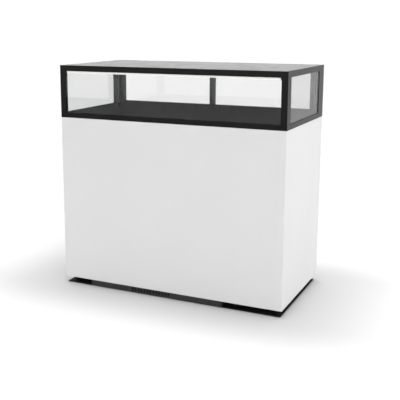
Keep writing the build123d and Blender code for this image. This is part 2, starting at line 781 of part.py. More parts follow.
# Frame rail: four black angles round the top of the body, upright wall outside and web inside
web_end = frame_sheet + seat_gap
with BuildPart() as frame_rail:
    with BuildSketch(Plane.YZ):
        for side in (-1, 1):
            with Locations((side * (y_rear - frame_sheet / 2), z_frame + rail_height / 2)):
                Rectangle(frame_sheet, rail_height)
    extrude(amount=x_side, both=True)
    with BuildSketch(Plane.YZ):
        for side in (-1, 1):
            with Locations((side * (y_rear - rail_web / 2), z_frame + frame_sheet / 2)):
                Rectangle(rail_web, frame_sheet)
    extrude(amount=x_side - web_end, both=True)
    with BuildSketch(Plane.XZ):
        for side in (-1, 1):
            with Locations((side * (x_side - frame_sheet / 2), z_frame + rail_height / 2)):
                Rectangle(frame_sheet, rail_height)
    extrude(amount=y_rear - web_end, both=True)
    with BuildSketch(Plane.XZ):
        for side in (-1, 1):
            with Locations((side * (x_side - rail_web / 2), z_frame + frame_sheet / 2)):
                Rectangle(rail_web, frame_sheet)
    extrude(amount=y_rear - rail_web - seat_gap, both=True)
frame_rail.part.label = "frame_rail"
export_step(frame_rail.part, "parts/frame_rail.step")

# Front posts: flush angles at both front corners
with BuildPart() as front_posts:
    with BuildSketch(Plane.XY.offset(z_rail)):
        for side in (-1, 1):
            with Locations((side * (x_side - front_post_face / 2), y_front + front_post_side / 2)):
                Rectangle(front_post_face, front_post_side)
            with Locations((side * (x_side - frame_sheet - front_post_face / 2),
                            y_front + frame_sheet + front_post_side / 2)):
                Rectangle(front_post_face, front_post_side, mode=Mode.SUBTRACT)
    extrude(amount=z_skirt - z_rail)
front_posts.part.label = "front_posts"
export_step(front_posts.part, "parts/front_posts.step")

# Rear posts: flush outer skin with a rebate for the side pane, and a hollow core up to the ceiling
z_web = z_frame + frame_sheet
z_ceiling = z_top - liner_drop
post_inner_x = x_side - rear_post_face
core_y0 = y_rear - rear_post_side + rebate
core_gap = frame_sheet + seat_gap
core_width = rear_post_face - core_gap
core_length = rear_post_side - rebate - core_gap
rebate_cut = rebate - pane_end_gap
with BuildPart() as rear_posts:
    for side in (-1, 1):
        with BuildSketch(Plane.XY.offset(z_web)):
            with Locations((side * (post_inner_x + core_width / 2), core_y0 + core_length / 2)):
                Rectangle(core_width, core_length)
                Rectangle(core_width - 2 * frame_sheet, core_length - 2 * frame_sheet, mode=Mode.SUBTRACT)
        extrude(amount=z_ceiling - seat_gap - z_web)
        with BuildSketch(Plane.XY.offset(z_rail)):
            with Locations((side * (x_side - core_gap / 2), y_rear - rear_post_side / 2)):
                Rectangle(core_gap, rear_post_side)
            with Locations((side * (x_side - core_gap), y_rear - rear_post_side + rebate_cut / 2)):
                Rectangle(2 * seat_gap, rebate_cut, mode=Mode.SUBTRACT)
            with Locations((side * (x_side + post_inner_x) / 2, y_rear - core_gap / 2)):
                Rectangle(rear_post_face, core_gap)
        extrude(amount=z_skirt - z_rail)
rear_posts.part.label = "rear_posts"
export_step(rear_posts.part, "parts/rear_posts.step")

# Roof tray: one folded sheet with a skirt all round
with BuildPart() as roof_tray:
    with BuildSketch(Plane.XY.offset(z_skirt)):
        Rectangle(case_width, case_depth)
    extrude(amount=skirt_height)
    fillet(roof_tray.faces().sort_by(Axis.Z)[-1].edges(), roof_corner)
    offset(amount=-frame_sheet, openings=roof_tray.faces().sort_by(Axis.Z)[0])
roof_tray.part.label = "roof_tray"
export_step(roof_tray.part, "parts/roof_tray.step")

# Ceiling liner: shallow pan inside the roof, its edges turned up
with BuildPart() as ceiling_liner:
    with BuildSketch(Plane.XY.offset(z_ceiling)):
        Rectangle(2 * (x_side - frame_sheet - slip), 2 * (y_rear - frame_sheet - slip))
    extrude(amount=liner_drop - frame_sheet - seat_gap)
    offset(amount=-liner_sheet, openings=ceiling_liner.faces().sort_by(Axis.Z)[-1])
ceiling_liner.part.label = "ceiling_liner"
export_step(ceiling_liner.part, "parts/ceiling_liner.step")

# Glass panes: the front one runs full width, the side ones butt against its back
pane_outer_x = x_side - frame_sheet - tape
pane_outer_y = y_front + frame_sheet + tape
pane_inner_x = pane_outer_x - pane_thickness
pane_inner_y = pane_outer_y + pane_thickness
z_pane = z_web + pane_lift
z_pane_top = z_top - pane_top_drop
with BuildPart() as front_pane:
    with BuildSketch(Plane.XY.offset(z_pane)):
        with Locations((0, pane_outer_y + pane_thickness / 2)):
            Rectangle(2 * pane_outer_x, pane_thickness)
    extrude(amount=z_pane_top - z_pane)
front_pane.part.label = "front_pane"
export_step(front_pane.part, "parts/front_pane.step")

side_pane_y0 = pane_inner_y + pane_joint
side_pane_y1 = core_y0 - pane_end_gap
side_pane_x = pane_outer_x - pane_thickness / 2
side_pane_mid_y = (side_pane_y0 + side_pane_y1) / 2
with BuildPart() as side_panes:
    with BuildSketch(Plane.XY.offset(z_pane)):
        for side in (-1, 1):
            with Locations((side * side_pane_x, side_pane_mid_y)):
                Rectangle(pane_thickness, side_pane_y1 - side_pane_y0)
    extrude(amount=z_pane_top - z_pane)
side_panes.part.label = "side_panes"
export_step(side_panes.part, "parts/side_panes.step")

# Glazing gaskets: setting strips under and over the panes, tape behind the front posts
tape_width = front_post_face - frame_sheet
with BuildPart() as glazing_gaskets:
    for z_strip, strip_tall in ((z_web, pane_lift), (z_pane_top, z_ceiling - z_pane_top)):
        with BuildSketch(Plane.XY.offset(z_strip)):
            with Locations((0, pane_outer_y + pane_thickness / 2)):
                Rectangle(2 * (pane_outer_x - gasket_inset), pane_thickness)
            for side in (-1, 1):
                with Locations((side * side_pane_x, side_pane_mid_y)):
                    Rectangle(pane_thickness, side_pane_y1 - side_pane_y0 - 2 * gasket_inset)
        extrude(amount=strip_tall)
    with BuildSketch(Plane.XY.offset(z_rail + gasket_inset)):
        for side in (-1, 1):
            with Locations((side * (x_side - frame_sheet - tape_width / 2), pane_outer_y - tape / 2)):
                Rectangle(tape_width - 2 * gasket_inset, tape)
            with Locations((side * (pane_outer_x + tape / 2),
                            (side_pane_y0 + y_front + front_post_side) / 2)):
                Rectangle(tape, y_front + front_post_side - side_pane_y0 - 2 * gasket_inset)
    extrude(amount=z_skirt - z_rail - 2 * gasket_inset)
glazing_gaskets.part.label = "glazing_gaskets"
export_step(glazing_gaskets.part, "parts/glazing_gaskets.step")

# Light: aluminium channel under the ceiling, circuit board with chips, opal cover
light_y = pane_inner_y + light_setback + light_width / 2
light_x = pane_inner_x - light_end_gap
z_light_top = z_ceiling - seat_gap
z_light = z_light_top - light_height
with BuildPart() as led_profile:
    with BuildSketch(Plane.YZ):
        with Locations((light_y, z_light + light_height / 2)):
            Rectangle(light_width, light_height)
        with Locations((light_y, z_light + light_height / 2 - light_wall)):
            Rectangle(light_width - 2 * light_wall, light_height, mode=Mode.SUBTRACT)
    extrude(amount=light_x, both=True)
led_profile.part.label = "led_profile"
export_step(led_profile.part, "parts/led_profile.step")

z_board = z_light_top - light_wall - board_thickness
chip_pitch = 2 * light_x / chip_count
with BuildPart() as led_board:
    with BuildSketch(Plane.YZ):
        with Locations((light_y, z_board + board_thickness / 2)):
            Rectangle(board_width, board_thickness)
    extrude(amount=light_x - slip, both=True)
    with BuildSketch(Plane.XY.offset(z_board)):
        with Locations((0, light_y)):
            with GridLocations(chip_pitch, 1, chip_count, 1):
                Rectangle(chip_size, chip_size)
    extrude(amount=-chip_height)
led_board.part.label = "led_board"
export_step(led_board.part, "parts/led_board.step")

diffuser_inner = light_width - 2 * light_wall - 2 * seat_gap
z_diffuser = z_light - diffuser_drop
diffuser_hollow = diffuser_drop + diffuser_leg
with BuildPart() as led_diffuser:
    with BuildSketch(Plane.YZ):
        with Locations((light_y, z_light - seat_gap - (diffuser_drop - seat_gap) / 2)):
            cover_outline = Rectangle(light_width, diffuser_drop - seat_gap)
        fillet(cover_outline.vertices().sort_by(Axis.Y)[:2], diffuser_round)
        with Locations((light_y, z_light - seat_gap + diffuser_leg / 2)):
            Rectangle(diffuser_inner, diffuser_leg)
        with Locations((light_y, z_diffuser + light_wall + diffuser_hollow / 2)):
            Rectangle(diffuser_inner - 2 * light_wall, diffuser_hollow, mode=Mode.SUBTRACT)
    extrude(amount=light_x, both=True)
led_diffuser.part.label = "led_diffuser"
export_step(led_diffuser.part, "parts/led_diffuser.step")

# Door tracks: two channels side by side at the foot and at the head of the rear opening
track_x = post_inner_x - seat_gap
track_front = y_rear - track_setback
channel_1 = track_front + outer_fin + channel_width / 2
channel_2 = channel_1 + channel_width + middle_fin
track_back = channel_2 + channel_width / 2 + outer_fin
sill_back = y_rear - core_gap
z_sill = z_rail
fin_mid_z = z_sill + lower_fin_height / 2
with BuildPart() as lower_track:
    with BuildSketch(Plane.YZ):
        with Locations(((track_front + sill_back) / 2, (z_web + z_sill) / 2)):
            Rectangle(sill_back - track_front, z_sill - z_web)
            Rectangle(sill_back - track_front - 2 * track_wall, z_sill - z_web - 2 * track_wall,
                      mode=Mode.SUBTRACT)
        with Locations(((track_front + track_back) / 2, fin_mid_z)):
            Rectangle(track_back - track_front, lower_fin_height)
        with Locations((channel_1, fin_mid_z), (channel_2, fin_mid_z)):
            Rectangle(channel_width, lower_fin_height, mode=Mode.SUBTRACT)
    extrude(amount=track_x, both=True)
lower_track.part.label = "lower_track"
export_step(lower_track.part, "parts/lower_track.step")

z_head = z_ceiling - seat_gap
z_head_channel = z_head - upper_web
z_upper_track = z_head - upper_track_height
with BuildPart() as upper_track:
    with BuildSketch(Plane.YZ):
        with Locations(((track_front + track_back) / 2, (z_upper_track + z_head) / 2)):
            Rectangle(track_back - track_front, upper_track_height)
        with Locations((channel_1, (z_upper_track + z_head_channel) / 2),
                       (channel_2, (z_upper_track + z_head_channel) / 2)):
            Rectangle(channel_width, z_head_channel - z_upper_track, mode=Mode.SUBTRACT)
    extrude(amount=track_x, both=True)
upper_track.part.label = "upper_track"
export_step(upper_track.part, "parts/upper_track.step")

# Sliding doors: glass in a grooved frame of shoes and stiles, on nylon gliders
z_glider = z_sill + seat_gap
z_slider = z_glider + glider_height
z_slider_top = z_head_channel - top_lift_gap
slider_tall = z_slider_top - z_slider
slider_outer_x = post_inner_x - slider_end_gap
slider_mid_z = (z_slider + z_slider_top) / 2
pull_x = slider_outer_x - pull_inset - pull_width / 2
groove = slider_glass + 2 * slider_glass_gap
for side, name, slider_y in ((-1, "left", channel_1), (1, "right", channel_2)):
    grip_x = side * (slider_outer_x - grip_stile / 2)
    shoe_x0 = -side * meeting_stile / 2 + side * meeting_stile
    shoe_x1 = side * (slider_outer_x - grip_stile)
    shoe_mid_x = (shoe_x0 + shoe_x1) / 2
    shoe_length = abs(shoe_x1 - shoe_x0)
    with BuildPart() as slider_frame:
        with BuildSketch(Plane.XY.offset(z_slider)):
            with Locations((0, slider_y)):
                Rectangle(meeting_stile, slider_thickness)
            with Locations((grip_x, slider_y)):
                Rectangle(grip_stile, slider_thickness)
            with Locations((shoe_mid_x, slider_y)):
                Rectangle(shoe_length + 2 * glass_groove, groove, mode=Mode.SUBTRACT)
        extrude(amount=slider_tall)
        with BuildSketch(Plane.XZ.offset(-slider_y - slider_thickness / 2)):
            with Locations((side * pull_x, slider_mid_z)):
                SlotOverall(pull_length, pull_width, rotation=90)
        extrude(amount=pull_depth, mode=Mode.SUBTRACT)
        for z_shoe, shoe_tall, z_cut in (
            (z_slider, shoe_height, z_slider + shoe_height),
            (z_slider_top - top_shoe_height, top_shoe_height, z_slider_top - top_shoe_height),
        ):
            with BuildSketch(Plane.YZ.offset(shoe_mid_x)):
                with Locations((slider_y, z_shoe + shoe_tall / 2)):
                    Rectangle(slider_thickness, shoe_tall)
                with Locations((slider_y, z_cut)):
                    Rectangle(groove, 2 * glass_groove, mode=Mode.SUBTRACT)
            extrude(amount=shoe_length / 2 - seat_gap, both=True)
    slider_frame.part.label = f"{name}_slider_frame"
    export_step(slider_frame.part, f"parts/{name}_slider_frame.step")

    glass_reach = glass_groove - groove_bottom_gap
    z_glass = z_slider + shoe_height - glass_reach
    z_glass_top = z_slider_top - top_shoe_height + glass_reach
    with BuildPart() as slider_pane:
        with BuildSketch(Plane.XY.offset(z_glass)):
            with Locations((shoe_mid_x, slider_y)):
                Rectangle(shoe_length + 2 * glass_reach, slider_glass)
        extrude(amount=z_glass_top - z_glass)
    slider_pane.part.label = f"{name}_slider_glass"
    export_step(slider_pane.part, f"parts/{name}_slider_glass.step")

    with BuildPart() as gliders:
        with BuildSketch(Plane.XY.offset(z_glider)):
            for glider_x in (glider_length, slider_outer_x - glider_length):
                with Locations((side * glider_x, slider_y)):
                    RectangleRounded(glider_length, glider_width, glider_corner)
        extrude(amount=glider_height)
    gliders.part.label = f"{name}_slider_gliders"
    export_step(gliders.part, f"parts/{name}_slider_gliders.step")

# Deck glass: black glass-ceramic, notched round the rear posts
deck_x = pane_inner_x - deck_side_gap
deck_y0 = pane_inner_y + deck_side_gap
deck_y1 = track_front - deck_side_gap
deck_mid_y = (deck_y0 + deck_y1) / 2
notch_x = post_inner_x - deck_side_gap
notch_y = core_y0 - deck_side_gap
notch_length = deck_y1 - notch_y
z_deck = z_rail - deck_drop - deck_thickness
with BuildPart() as deck_glass:
    with BuildSketch(Plane.XY.offset(z_deck)):
        with Locations((0, deck_mid_y)):
            Rectangle(2 * deck_x, deck_y1 - deck_y0)
        for side in (-1, 1):
            with Locations((side * (notch_x + rear_post_face), deck_y1)):
                Rectangle(2 * rear_post_face, 2 * notch_length, mode=Mode.SUBTRACT)
    extrude(amount=deck_thickness)
deck_glass.part.label = "deck_glass"
export_step(deck_glass.part, "parts/deck_glass.step")

# Deck tray: folded pan on the frame web that carries the deck on its upturned edge
with BuildPart() as deck_tray:
    with BuildSketch(Plane.XY.offset(z_web)):
        with Locations((0, deck_mid_y)):
            Rectangle(2 * (deck_x - slip), deck_y1 - deck_y0 - 2 * slip)
        for side in (-1, 1):
            with Locations((side * (notch_x - slip + rear_post_face), deck_y1)):
                Rectangle(2 * rear_post_face, 2 * (notch_length + slip), mode=Mode.SUBTRACT)
    extrude(amount=z_deck - seat_gap - z_web)
    offset(amount=-tray_sheet, openings=deck_tray.faces().sort_by(Axis.Z)[-1])
deck_tray.part.label = "deck_tray"
export_step(deck_tray.part, "parts/deck_tray.step")

# Heating mats bonded under the deck, with an insulation board below them
z_mat = z_deck - seat_gap - mat_thickness
mat_width = (2 * (deck_x - mat_margin) - (mat_count - 1) * mat_gap) / mat_count
mat_length = deck_y1 - deck_y0 - 2 * mat_margin
with BuildPart() as heating_mats:
    with BuildSketch(Plane.XY.offset(z_mat)):
        with Locations((0, deck_mid_y)):
            with GridLocations(mat_width + mat_gap, 1, mat_count, 1):
                RectangleRounded(mat_width, mat_length, mat_corner)
    extrude(amount=mat_thickness)
heating_mats.part.label = "heating_mats"
export_step(heating_mats.part, "parts/heating_mats.step")

z_board_bottom = z_web + tray_sheet + seat_gap
z_board_top = z_mat - seat_gap
board_inset = tray_sheet + 2 * slip
with BuildPart() as deck_insulation:
    with BuildSketch(Plane.XY.offset(z_board_bottom)):
        with Locations((0, deck_mid_y)):
            Rectangle(2 * (deck_x - board_inset), deck_y1 - deck_y0 - 2 * board_inset)
        for side in (-1, 1):
            with Locations((side * (notch_x - board_inset + rear_post_face), deck_y1)):
                Rectangle(2 * rear_post_face, 2 * (notch_length + board_inset), mode=Mode.SUBTRACT)
    extrude(amount=z_board_top - z_board_bottom)
    with BuildSketch(Plane.XY.offset(z_board_top)):
        with Locations((0, deck_mid_y)):
            Rectangle(sensor_pocket_length, sensor_pocket)
    extrude(amount=-2 * sensor_radius - seat_gap, mode=Mode.SUBTRACT)
deck_insulation.part.label = "deck_insulation"
export_step(deck_insulation.part, "parts/deck_insulation.step")

# Sensor bulb in its pocket under the middle mat, and the limit thermostat under the tray
with BuildPart() as deck_sensor:
    with BuildSketch(Plane.YZ):
        with Locations((deck_mid_y, z_board_top - sensor_radius)):
            Circle(sensor_radius)
    extrude(amount=sensor_length / 2, both=True)
deck_sensor.part.label = "deck_sensor"
export_step(deck_sensor.part, "parts/deck_sensor.step")

z_thermostat = z_web - seat_gap - thermostat_height
with BuildPart() as limit_thermostat:
    with BuildSketch(Plane.XY.offset(z_thermostat)):
        with Locations((thermostat_x, deck_mid_y)):
            Circle(thermostat_radius)
    extrude(amount=thermostat_height)
    with BuildSketch(Plane.XY.offset(z_thermostat + thermostat_height - thermostat_ear_sheet)):
        with Locations((thermostat_x, deck_mid_y)):
            SlotOverall(thermostat_ears, thermostat_ear_width)
    extrude(amount=thermostat_ear_sheet)
    with BuildSketch(Plane.XY.offset(z_thermostat)):
        with Locations((thermostat_x, deck_mid_y)):
            with GridLocations(blade_pitch, 1, 2, 1):
                Rectangle(blade_sheet, blade_width)
    extrude(amount=-blade_length)
limit_thermostat.part.label = "limit_thermostat"
export_step(limit_thermostat.part, "parts/limit_thermostat.step")
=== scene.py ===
"""Finishes, small trim and a plain studio for the heated display case."""

import json
import math

import bmesh
import bpy
from bpy.props import FloatProperty, FloatVectorProperty, IntProperty, PointerProperty
from mathutils import Matrix, Vector


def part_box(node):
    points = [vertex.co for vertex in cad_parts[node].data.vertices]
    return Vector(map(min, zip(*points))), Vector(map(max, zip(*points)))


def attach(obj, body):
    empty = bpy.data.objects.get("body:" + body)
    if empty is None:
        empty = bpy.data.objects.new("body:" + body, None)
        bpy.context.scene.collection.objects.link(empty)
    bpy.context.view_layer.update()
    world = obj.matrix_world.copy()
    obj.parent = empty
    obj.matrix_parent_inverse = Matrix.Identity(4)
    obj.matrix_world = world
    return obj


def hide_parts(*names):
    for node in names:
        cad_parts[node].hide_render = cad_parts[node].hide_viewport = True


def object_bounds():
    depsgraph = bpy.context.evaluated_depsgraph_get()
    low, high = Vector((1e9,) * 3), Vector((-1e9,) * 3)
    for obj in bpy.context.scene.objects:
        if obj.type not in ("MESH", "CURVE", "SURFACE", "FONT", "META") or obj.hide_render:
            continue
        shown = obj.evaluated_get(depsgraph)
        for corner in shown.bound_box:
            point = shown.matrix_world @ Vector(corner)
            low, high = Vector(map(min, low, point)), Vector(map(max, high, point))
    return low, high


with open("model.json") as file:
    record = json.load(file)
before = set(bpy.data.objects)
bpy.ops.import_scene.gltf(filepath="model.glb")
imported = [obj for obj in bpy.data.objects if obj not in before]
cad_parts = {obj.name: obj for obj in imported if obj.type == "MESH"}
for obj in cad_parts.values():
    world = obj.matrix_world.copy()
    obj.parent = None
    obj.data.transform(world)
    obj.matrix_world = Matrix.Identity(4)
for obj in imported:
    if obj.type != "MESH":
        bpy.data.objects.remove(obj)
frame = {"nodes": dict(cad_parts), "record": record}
cad_low, cad_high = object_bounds()

bl_info = {
    "name": "Heated Display Case",
    "version": (1, 0, 0),
    "blender": (4, 5, 0),
    "location": "3D View > Sidebar > Display Case",
    "description": "Finishes and trim for a heated display case",
    "category": "Object",
}

MM = 0.001
SLOT_OF = {part["node"]: part["material_slot"] for part in frame["record"]["subparts"]}
BODY_OF = {
    node: body
    for body, nodes in frame["record"]["behaviour"]["bodies"].items()
    for node in nodes
}

REARWARD = (0.0, 1.0, 0.0)
UPWARD = (0.0, 0.0, 1.0)

# Measures of the solids that their boxes don't give
PANE_THICKNESS = 6.0 * MM
POST_FACE = 32.0 * MM
REAR_POST_FACE = 30.0 * MM
SCREW_HEAD = 4.0 * MM
ROCKER_PIVOT = 6.0 * MM
ROCKER_TILT = math.radians(8.0)
ROCKER_FRONT = 7.5 * MM
ROCKER_DIP = 2.5 * MM
ROCKER_HALF = 12.0 * MM

# How a solid is merged and flattened before its edges are eased, and which of them are eased
MERGE_DISTANCE = 0.002 * MM
FLAT_ANGLE = math.radians(0.3)
SHARP_TURN = math.radians(30.0)
PAN_SHORTEST = 5.0 * MM

# Finishes
DUST = (0.45, 0.44, 0.42, 1.0)
GRIT_FINENESS = 4.3
WAVE_DEPTH = 0.02 * MM
LAMP_COUNT = 40
LAMP_STRENGTH = 1.3

# Printed signs, as shares of their height, and the marks on keys and rockers
ARC_STEPS = 32
MAINS_SWEEP = math.radians(285.0)
MAINS_BAR = 0.55
MAINS_BAR_UP = 0.3
LAMP_SIGN_BARS = ((math.radians(-45.0), 0.9), (math.radians(45.0), 0.8))
SIGN_LINE = 0.12
SIGN_DROP = 1.3
KEY_RING = (1.6 * MM, 0.5 * MM)
KEY_ARROW = 1.9 * MM
KEY_ARROW_SQUASH = 0.85
ROCKER_RING = (2.4 * MM, 0.6 * MM)
ROCKER_BAR = (4.8 * MM, 0.8 * MM)
ROCKER_MARK_OUT = 0.58

# Lit number, as shares of its height: the seven bars by place and turn, and the bars of each digit
DIGIT_BARS = {
    "a": (0.0, 0.5, 90.0), "b": (0.5, 0.25, 0.0), "c": (0.5, -0.25, 0.0), "d": (0.0, -0.5, 90.0),
    "e": (-0.5, -0.25, 0.0), "f": (-0.5, 0.25, 0.0), "g": (0.0, 0.0, 90.0),
}
DIGIT_LIT = (
    "abcdef", "bc", "abged", "abgcd", "fgbc", "afgcd", "afgedc", "abc", "abcdefg", "abcdfg",
)
DIGIT_WIDTH = 0.5
DIGIT_STROKE = 0.13
DIGIT_GAP = 0.35
DIGIT_PITCH = 0.82
DIGIT_SLANT = 0.12
HEAT_LAMP = (-1.25, 0.38, 0.09)
READING_SHIFT = 2.5 * MM

# Cross recess as shares of its width, and the head's edge as shares of its radius and height
RECESS_ARM = 0.12
RECESS_INNER = 0.4
RECESS_TAPER = 0.6
RECESS_DEPTH = 0.35
RECESS_LAND = 0.56
HEAD_EDGE = ((0.8, 0.14), (0.94, 0.36), (1.0, 0.62), (1.0, 1.0))
SCREW_TURN = math.radians(37.0)

# Cable gland. An outline is asked a hair past each point, so that no point falls on a rib's edge.
GLAND_DOME = 22.0 * MM
GLAND_THREAD = 8.0 * MM
GLAND_FOOT = -12.0 * MM
RIB_COUNT = 12
RIB_HOLLOW = 0.94
TURN_NUDGE = 1e-6

# Pile strip between the sliding doors
PILE_INSET = 6.0 * MM
PILE_STEM = 1.0 * MM
PILE_STEM_HALF = 3.0 * MM
PILE_HALF = 2.0 * MM
PILE_CLEARANCE = 1.5 * MM
PILE_TIP = 0.55
PILE_EDGE = 0.25 * MM

# Camera, surround, and the floor with its painted shadow round the case
SENSOR_WIDTH = 36.0
SIDE_LIGHT = (0.08, 1.92)
HORIZON = (0.075, 0.105)
GLOSS_LEVELS = (1.1, 0.22)
BACKDROP_LEVELS = (1.0, 1.1)
# Painted shadow on the floor: how it is squashed across, where it fades, and its grey near the case.
# The far tone is the even floor.
FLOOR_SHADOW_SQUASH = (0.65, 1.0, 0.0)
FLOOR_SHADOW_FADE = (0.05, 0.45)
FLOOR_PAINTED_SHADOW = (0.77, 0.77, 0.77, 1.0)
FLOOR_FAR = (0.97, 0.97, 0.97, 1.0)
CARD_HEIGHT = 4.0 * MM
CARD_FADE = (-2.0, 3.0)
CARD_DARK = (0.17, 0.17, 0.17, 1.0)
CARD_PALE = (0.5, 0.5, 0.5, 1.0)


def tint(name, description, default):
    """Colour that can be set in the sidebar."""
    return FloatVectorProperty(
        name=name, description=description, subtype="COLOR", size=3, min=0.0, max=1.0,
        default=default,
    )


def distance(name, description, millimetres):
    """Length that can be set in the sidebar, its default in millimetres."""
    return FloatProperty(
        name=name, description=description, unit="LENGTH", min=0.0, default=millimetres * MM,
    )


class CaseColours(bpy.types.PropertyGroup):
    """Colours of the finishes"""

    body: tint("Body lacquer", "Colour of the white powder coat", (0.895, 0.895, 0.9))
    frame: tint(
        "Frame lacquer", "Colour of the black powder coat on frame and roof", (0.011, 0.011, 0.0115),
    )
    plinth: tint("Plinth paint", "Colour of the recessed base", (0.008, 0.008, 0.009))
    # The vent's grey, lighter than the plinth's black, is painted light: it stands for the light the
    # vent panel catches at the front of the recess
    vent: tint("Vent paint", "Colour of the slotted vent panel", (0.05, 0.05, 0.0515))
    clear_glass: tint("Glass tint", "Tint of the clear panes", (0.939, 0.943, 0.939))
    # The end panes' tint, darker than the front pane's, is painted shade: the same glass, darkened for
    # how the end panes look when seen at a slant
    side_glass: tint("Side glass tint", "Tint of the end panes", (0.825, 0.832, 0.827))
    deck: tint("Deck glass", "Colour of the heated glass-ceramic deck", (0.004, 0.004, 0.0045))
    lamp: tint("Light strip", "Colour of the light under the roof", (1.0, 0.965, 0.91))
    digits: tint("Display digits", "Colour of the lit temperature digits", (1.0, 0.16, 0.05))


class CaseSizes(bpy.types.PropertyGroup):
    """Sizes of eased edges and small trim"""

    sheet_edge: distance("Sheet edge", "Radius on the edges of folded sheet", 0.35)
    pad_edge: distance("Pad edge", "Radius on the edges of the floor pads", 1.0)
    tube_edge: distance("Tube corner", "Radius on the corners of the square frame tubes", 1.5)
    frame_edge: distance("Frame edge", "Radius on the edges of frame and tracks", 0.5)
    vent_edge: distance("Vent edge", "Radius on the edges of slotted and thin parts", 0.2)
    glass_edge: distance("Glass edge", "Width of the polished edge on the glass", 0.6)
    handle_edge: distance("Handle edge", "Radius on the edges of the bow handles", 1.6)
    plastic_edge: distance("Plastic edge", "Radius on the edges of switches and controller", 0.5)
    fit_gap: distance("Fit gap", "Gap that trim keeps from the parts beside it", 0.3)
    cover_depth: distance("Corner cover", "Depth of the covers in the front corners", 14.0)
    lamp_cover: distance(
        "Lamp cover", "How far the ends of the light are hidden past the posts", 7.0,
    )
    lamp_cover_drop: distance(
        "Lamp cover drop", "How far the covers of the light reach below it", 2.0,
    )
    # The pale strips on the rear posts are a painted highlight
    buffer_width: distance("Buffer width", "Width of the pale strips on the rear posts", 16.0)
    buffer_depth: distance("Buffer depth", "How far the strips stand off the rear posts", 1.2)
    pile_height: distance("Pile height", "How far the pile seal stands off the meeting stile", 5.0)
    digit_height: distance("Digit height", "Height of the temperature digits", 10.0)
    mark_height: distance("Mark height", "Height of the printed marks on the fascia", 6.0)
    print_depth: distance("Print depth", "How far printed marks stand off their surface", 0.06)
    recess_width: distance("Screw recess", "Width of the cross recess in the fascia screws", 4.6)
    reading: IntProperty(
        name="Reading", description="Temperature on the display", min=0, max=99, default=65,
    )


class CaseStudio(bpy.types.PropertyGroup):
    """Camera, floor and light"""

    camera_place: FloatVectorProperty(
        name="Camera", description="Place of the camera",
        subtype="TRANSLATION", unit="LENGTH", size=3, default=(1.6361, -3.6434, 1.4144),
    )
    azimuth: FloatProperty(
        name="Azimuth", description="How far the camera stands to the right of the front",
        subtype="ANGLE", default=math.radians(25.53),
    )
    elevation: FloatProperty(
        name="Elevation", description="How far the camera looks down",
        subtype="ANGLE", default=math.radians(11.09),
    )
    lens: FloatProperty(
        name="Lens", description="Focal length on a 36 mm sensor", unit="CAMERA", default=67.12,
    )
    shift: FloatVectorProperty(
        name="Shift", description="Lens shift right and up, in picture widths",
        size=2, default=(0.0625, -0.0753),
    )
    floor_side: FloatProperty(
        name="Floor", description="Side of the square floor", unit="LENGTH", default=120.0,
    )
    fill: FloatProperty(
        name="Surround", description="Strength of the light from the surround", default=1.58,
    )
    sun: FloatProperty(
        name="Overhead light", description="Strength of the wide light from above", default=2.66,
    )
    sun_angle: FloatProperty(
        name="Overhead spread", description="How wide the light from above is",
        subtype="ANGLE", default=math.radians(52.0),
    )
    sun_tilt: FloatVectorProperty(
        name="Overhead tilt", description="Lean of the light from above",
        subtype="EULER", size=3, default=(math.radians(-3.0), math.radians(-2.0), 0.0),
    )


def feed(tree, value, socket):
    """Sets an input to a plain value, or links it to an output."""
    if isinstance(value, bpy.types.NodeSocket):
        tree.links.new(value, socket)
    else:
        socket.default_value = value


def shade(tree, kind, settings=(), **inputs):
    """Adds a shader node with its settings. Each input is a plain value or the output that feeds it."""
    node = tree.nodes.new(kind)
    for name, value in dict(settings).items():
        setattr(node, name, value)
    for name, value in inputs.items():
        feed(tree, value, node.inputs[name.replace("_", " ")])
    return node


def calculate(tree, operation, *terms, kind="ShaderNodeMath", output=0):
    """Output of a math node over the given terms."""
    node = shade(tree, kind, {"operation": operation})
    for term, socket in zip(terms, node.inputs):
        feed(tree, term, socket)
    return node.outputs[output]


def remap(tree, value, start=(0.0, 1.0), end=(0.0, 1.0), settings=()):
    """Output of a node that maps a value from one range to another."""
    node = shade(
        tree, "ShaderNodeMapRange", settings, Value=value,
        From_Min=start[0], From_Max=start[1], To_Min=end[0], To_Max=end[1],
    )
    return node.outputs["Result"]


def noise(tree, place, scale, detail, roughness=0.5, distortion=0.0):
    """Output of a noise texture."""
    node = shade(
        tree, "ShaderNodeTexNoise", Vector=place, Scale=scale, Detail=detail, Roughness=roughness,
        Distortion=distortion,
    )
    return node.outputs["Fac"]


# First input, second input and output of a Mix node, by kind
MIX_SOCKETS = {"FLOAT": (2, 3, 0), "RGBA": (6, 7, 2)}


def blend(tree, factor, first, second, data="RGBA"):
    """Output of a mix of two colours or of two numbers."""
    node = shade(tree, "ShaderNodeMix", {"data_type": data}, Factor=factor)
    first_socket, second_socket, result = MIX_SOCKETS[data]
    feed(tree, first, node.inputs[first_socket])
    feed(tree, second, node.inputs[second_socket])
    return node.outputs[result]


def mix_shaders(tree, factor, first, second):
    """Output of a mix of two shaders."""
    node = shade(tree, "ShaderNodeMixShader", Fac=factor)
    tree.links.new(first, node.inputs[1])
    tree.links.new(second, node.inputs[2])
    return node.outputs[0]


FLOAT = "NodeSocketFloat"
VECTOR = "NodeSocketVector"
COLOUR = "NodeSocketColor"
VECTOR_MATH = "ShaderNodeVectorMath"


def shader_group(name, inputs, outputs):
    """Starts a shader node group with named sockets and gives back its two inner ends."""
    group = bpy.data.node_groups.new(name, "ShaderNodeTree")
    group.interface.new_socket("Vector", in_out="INPUT", socket_type=VECTOR)
    for label, kind, default in inputs:
        group.interface.new_socket(label, in_out="INPUT", socket_type=kind).default_value = default
    for label, kind in outputs:
        group.interface.new_socket(label, in_out="OUTPUT", socket_type=kind)
    entry = group.nodes.new("NodeGroupInput")
    leave = group.nodes.new("NodeGroupOutput")
    return group, entry.outputs, leave.inputs


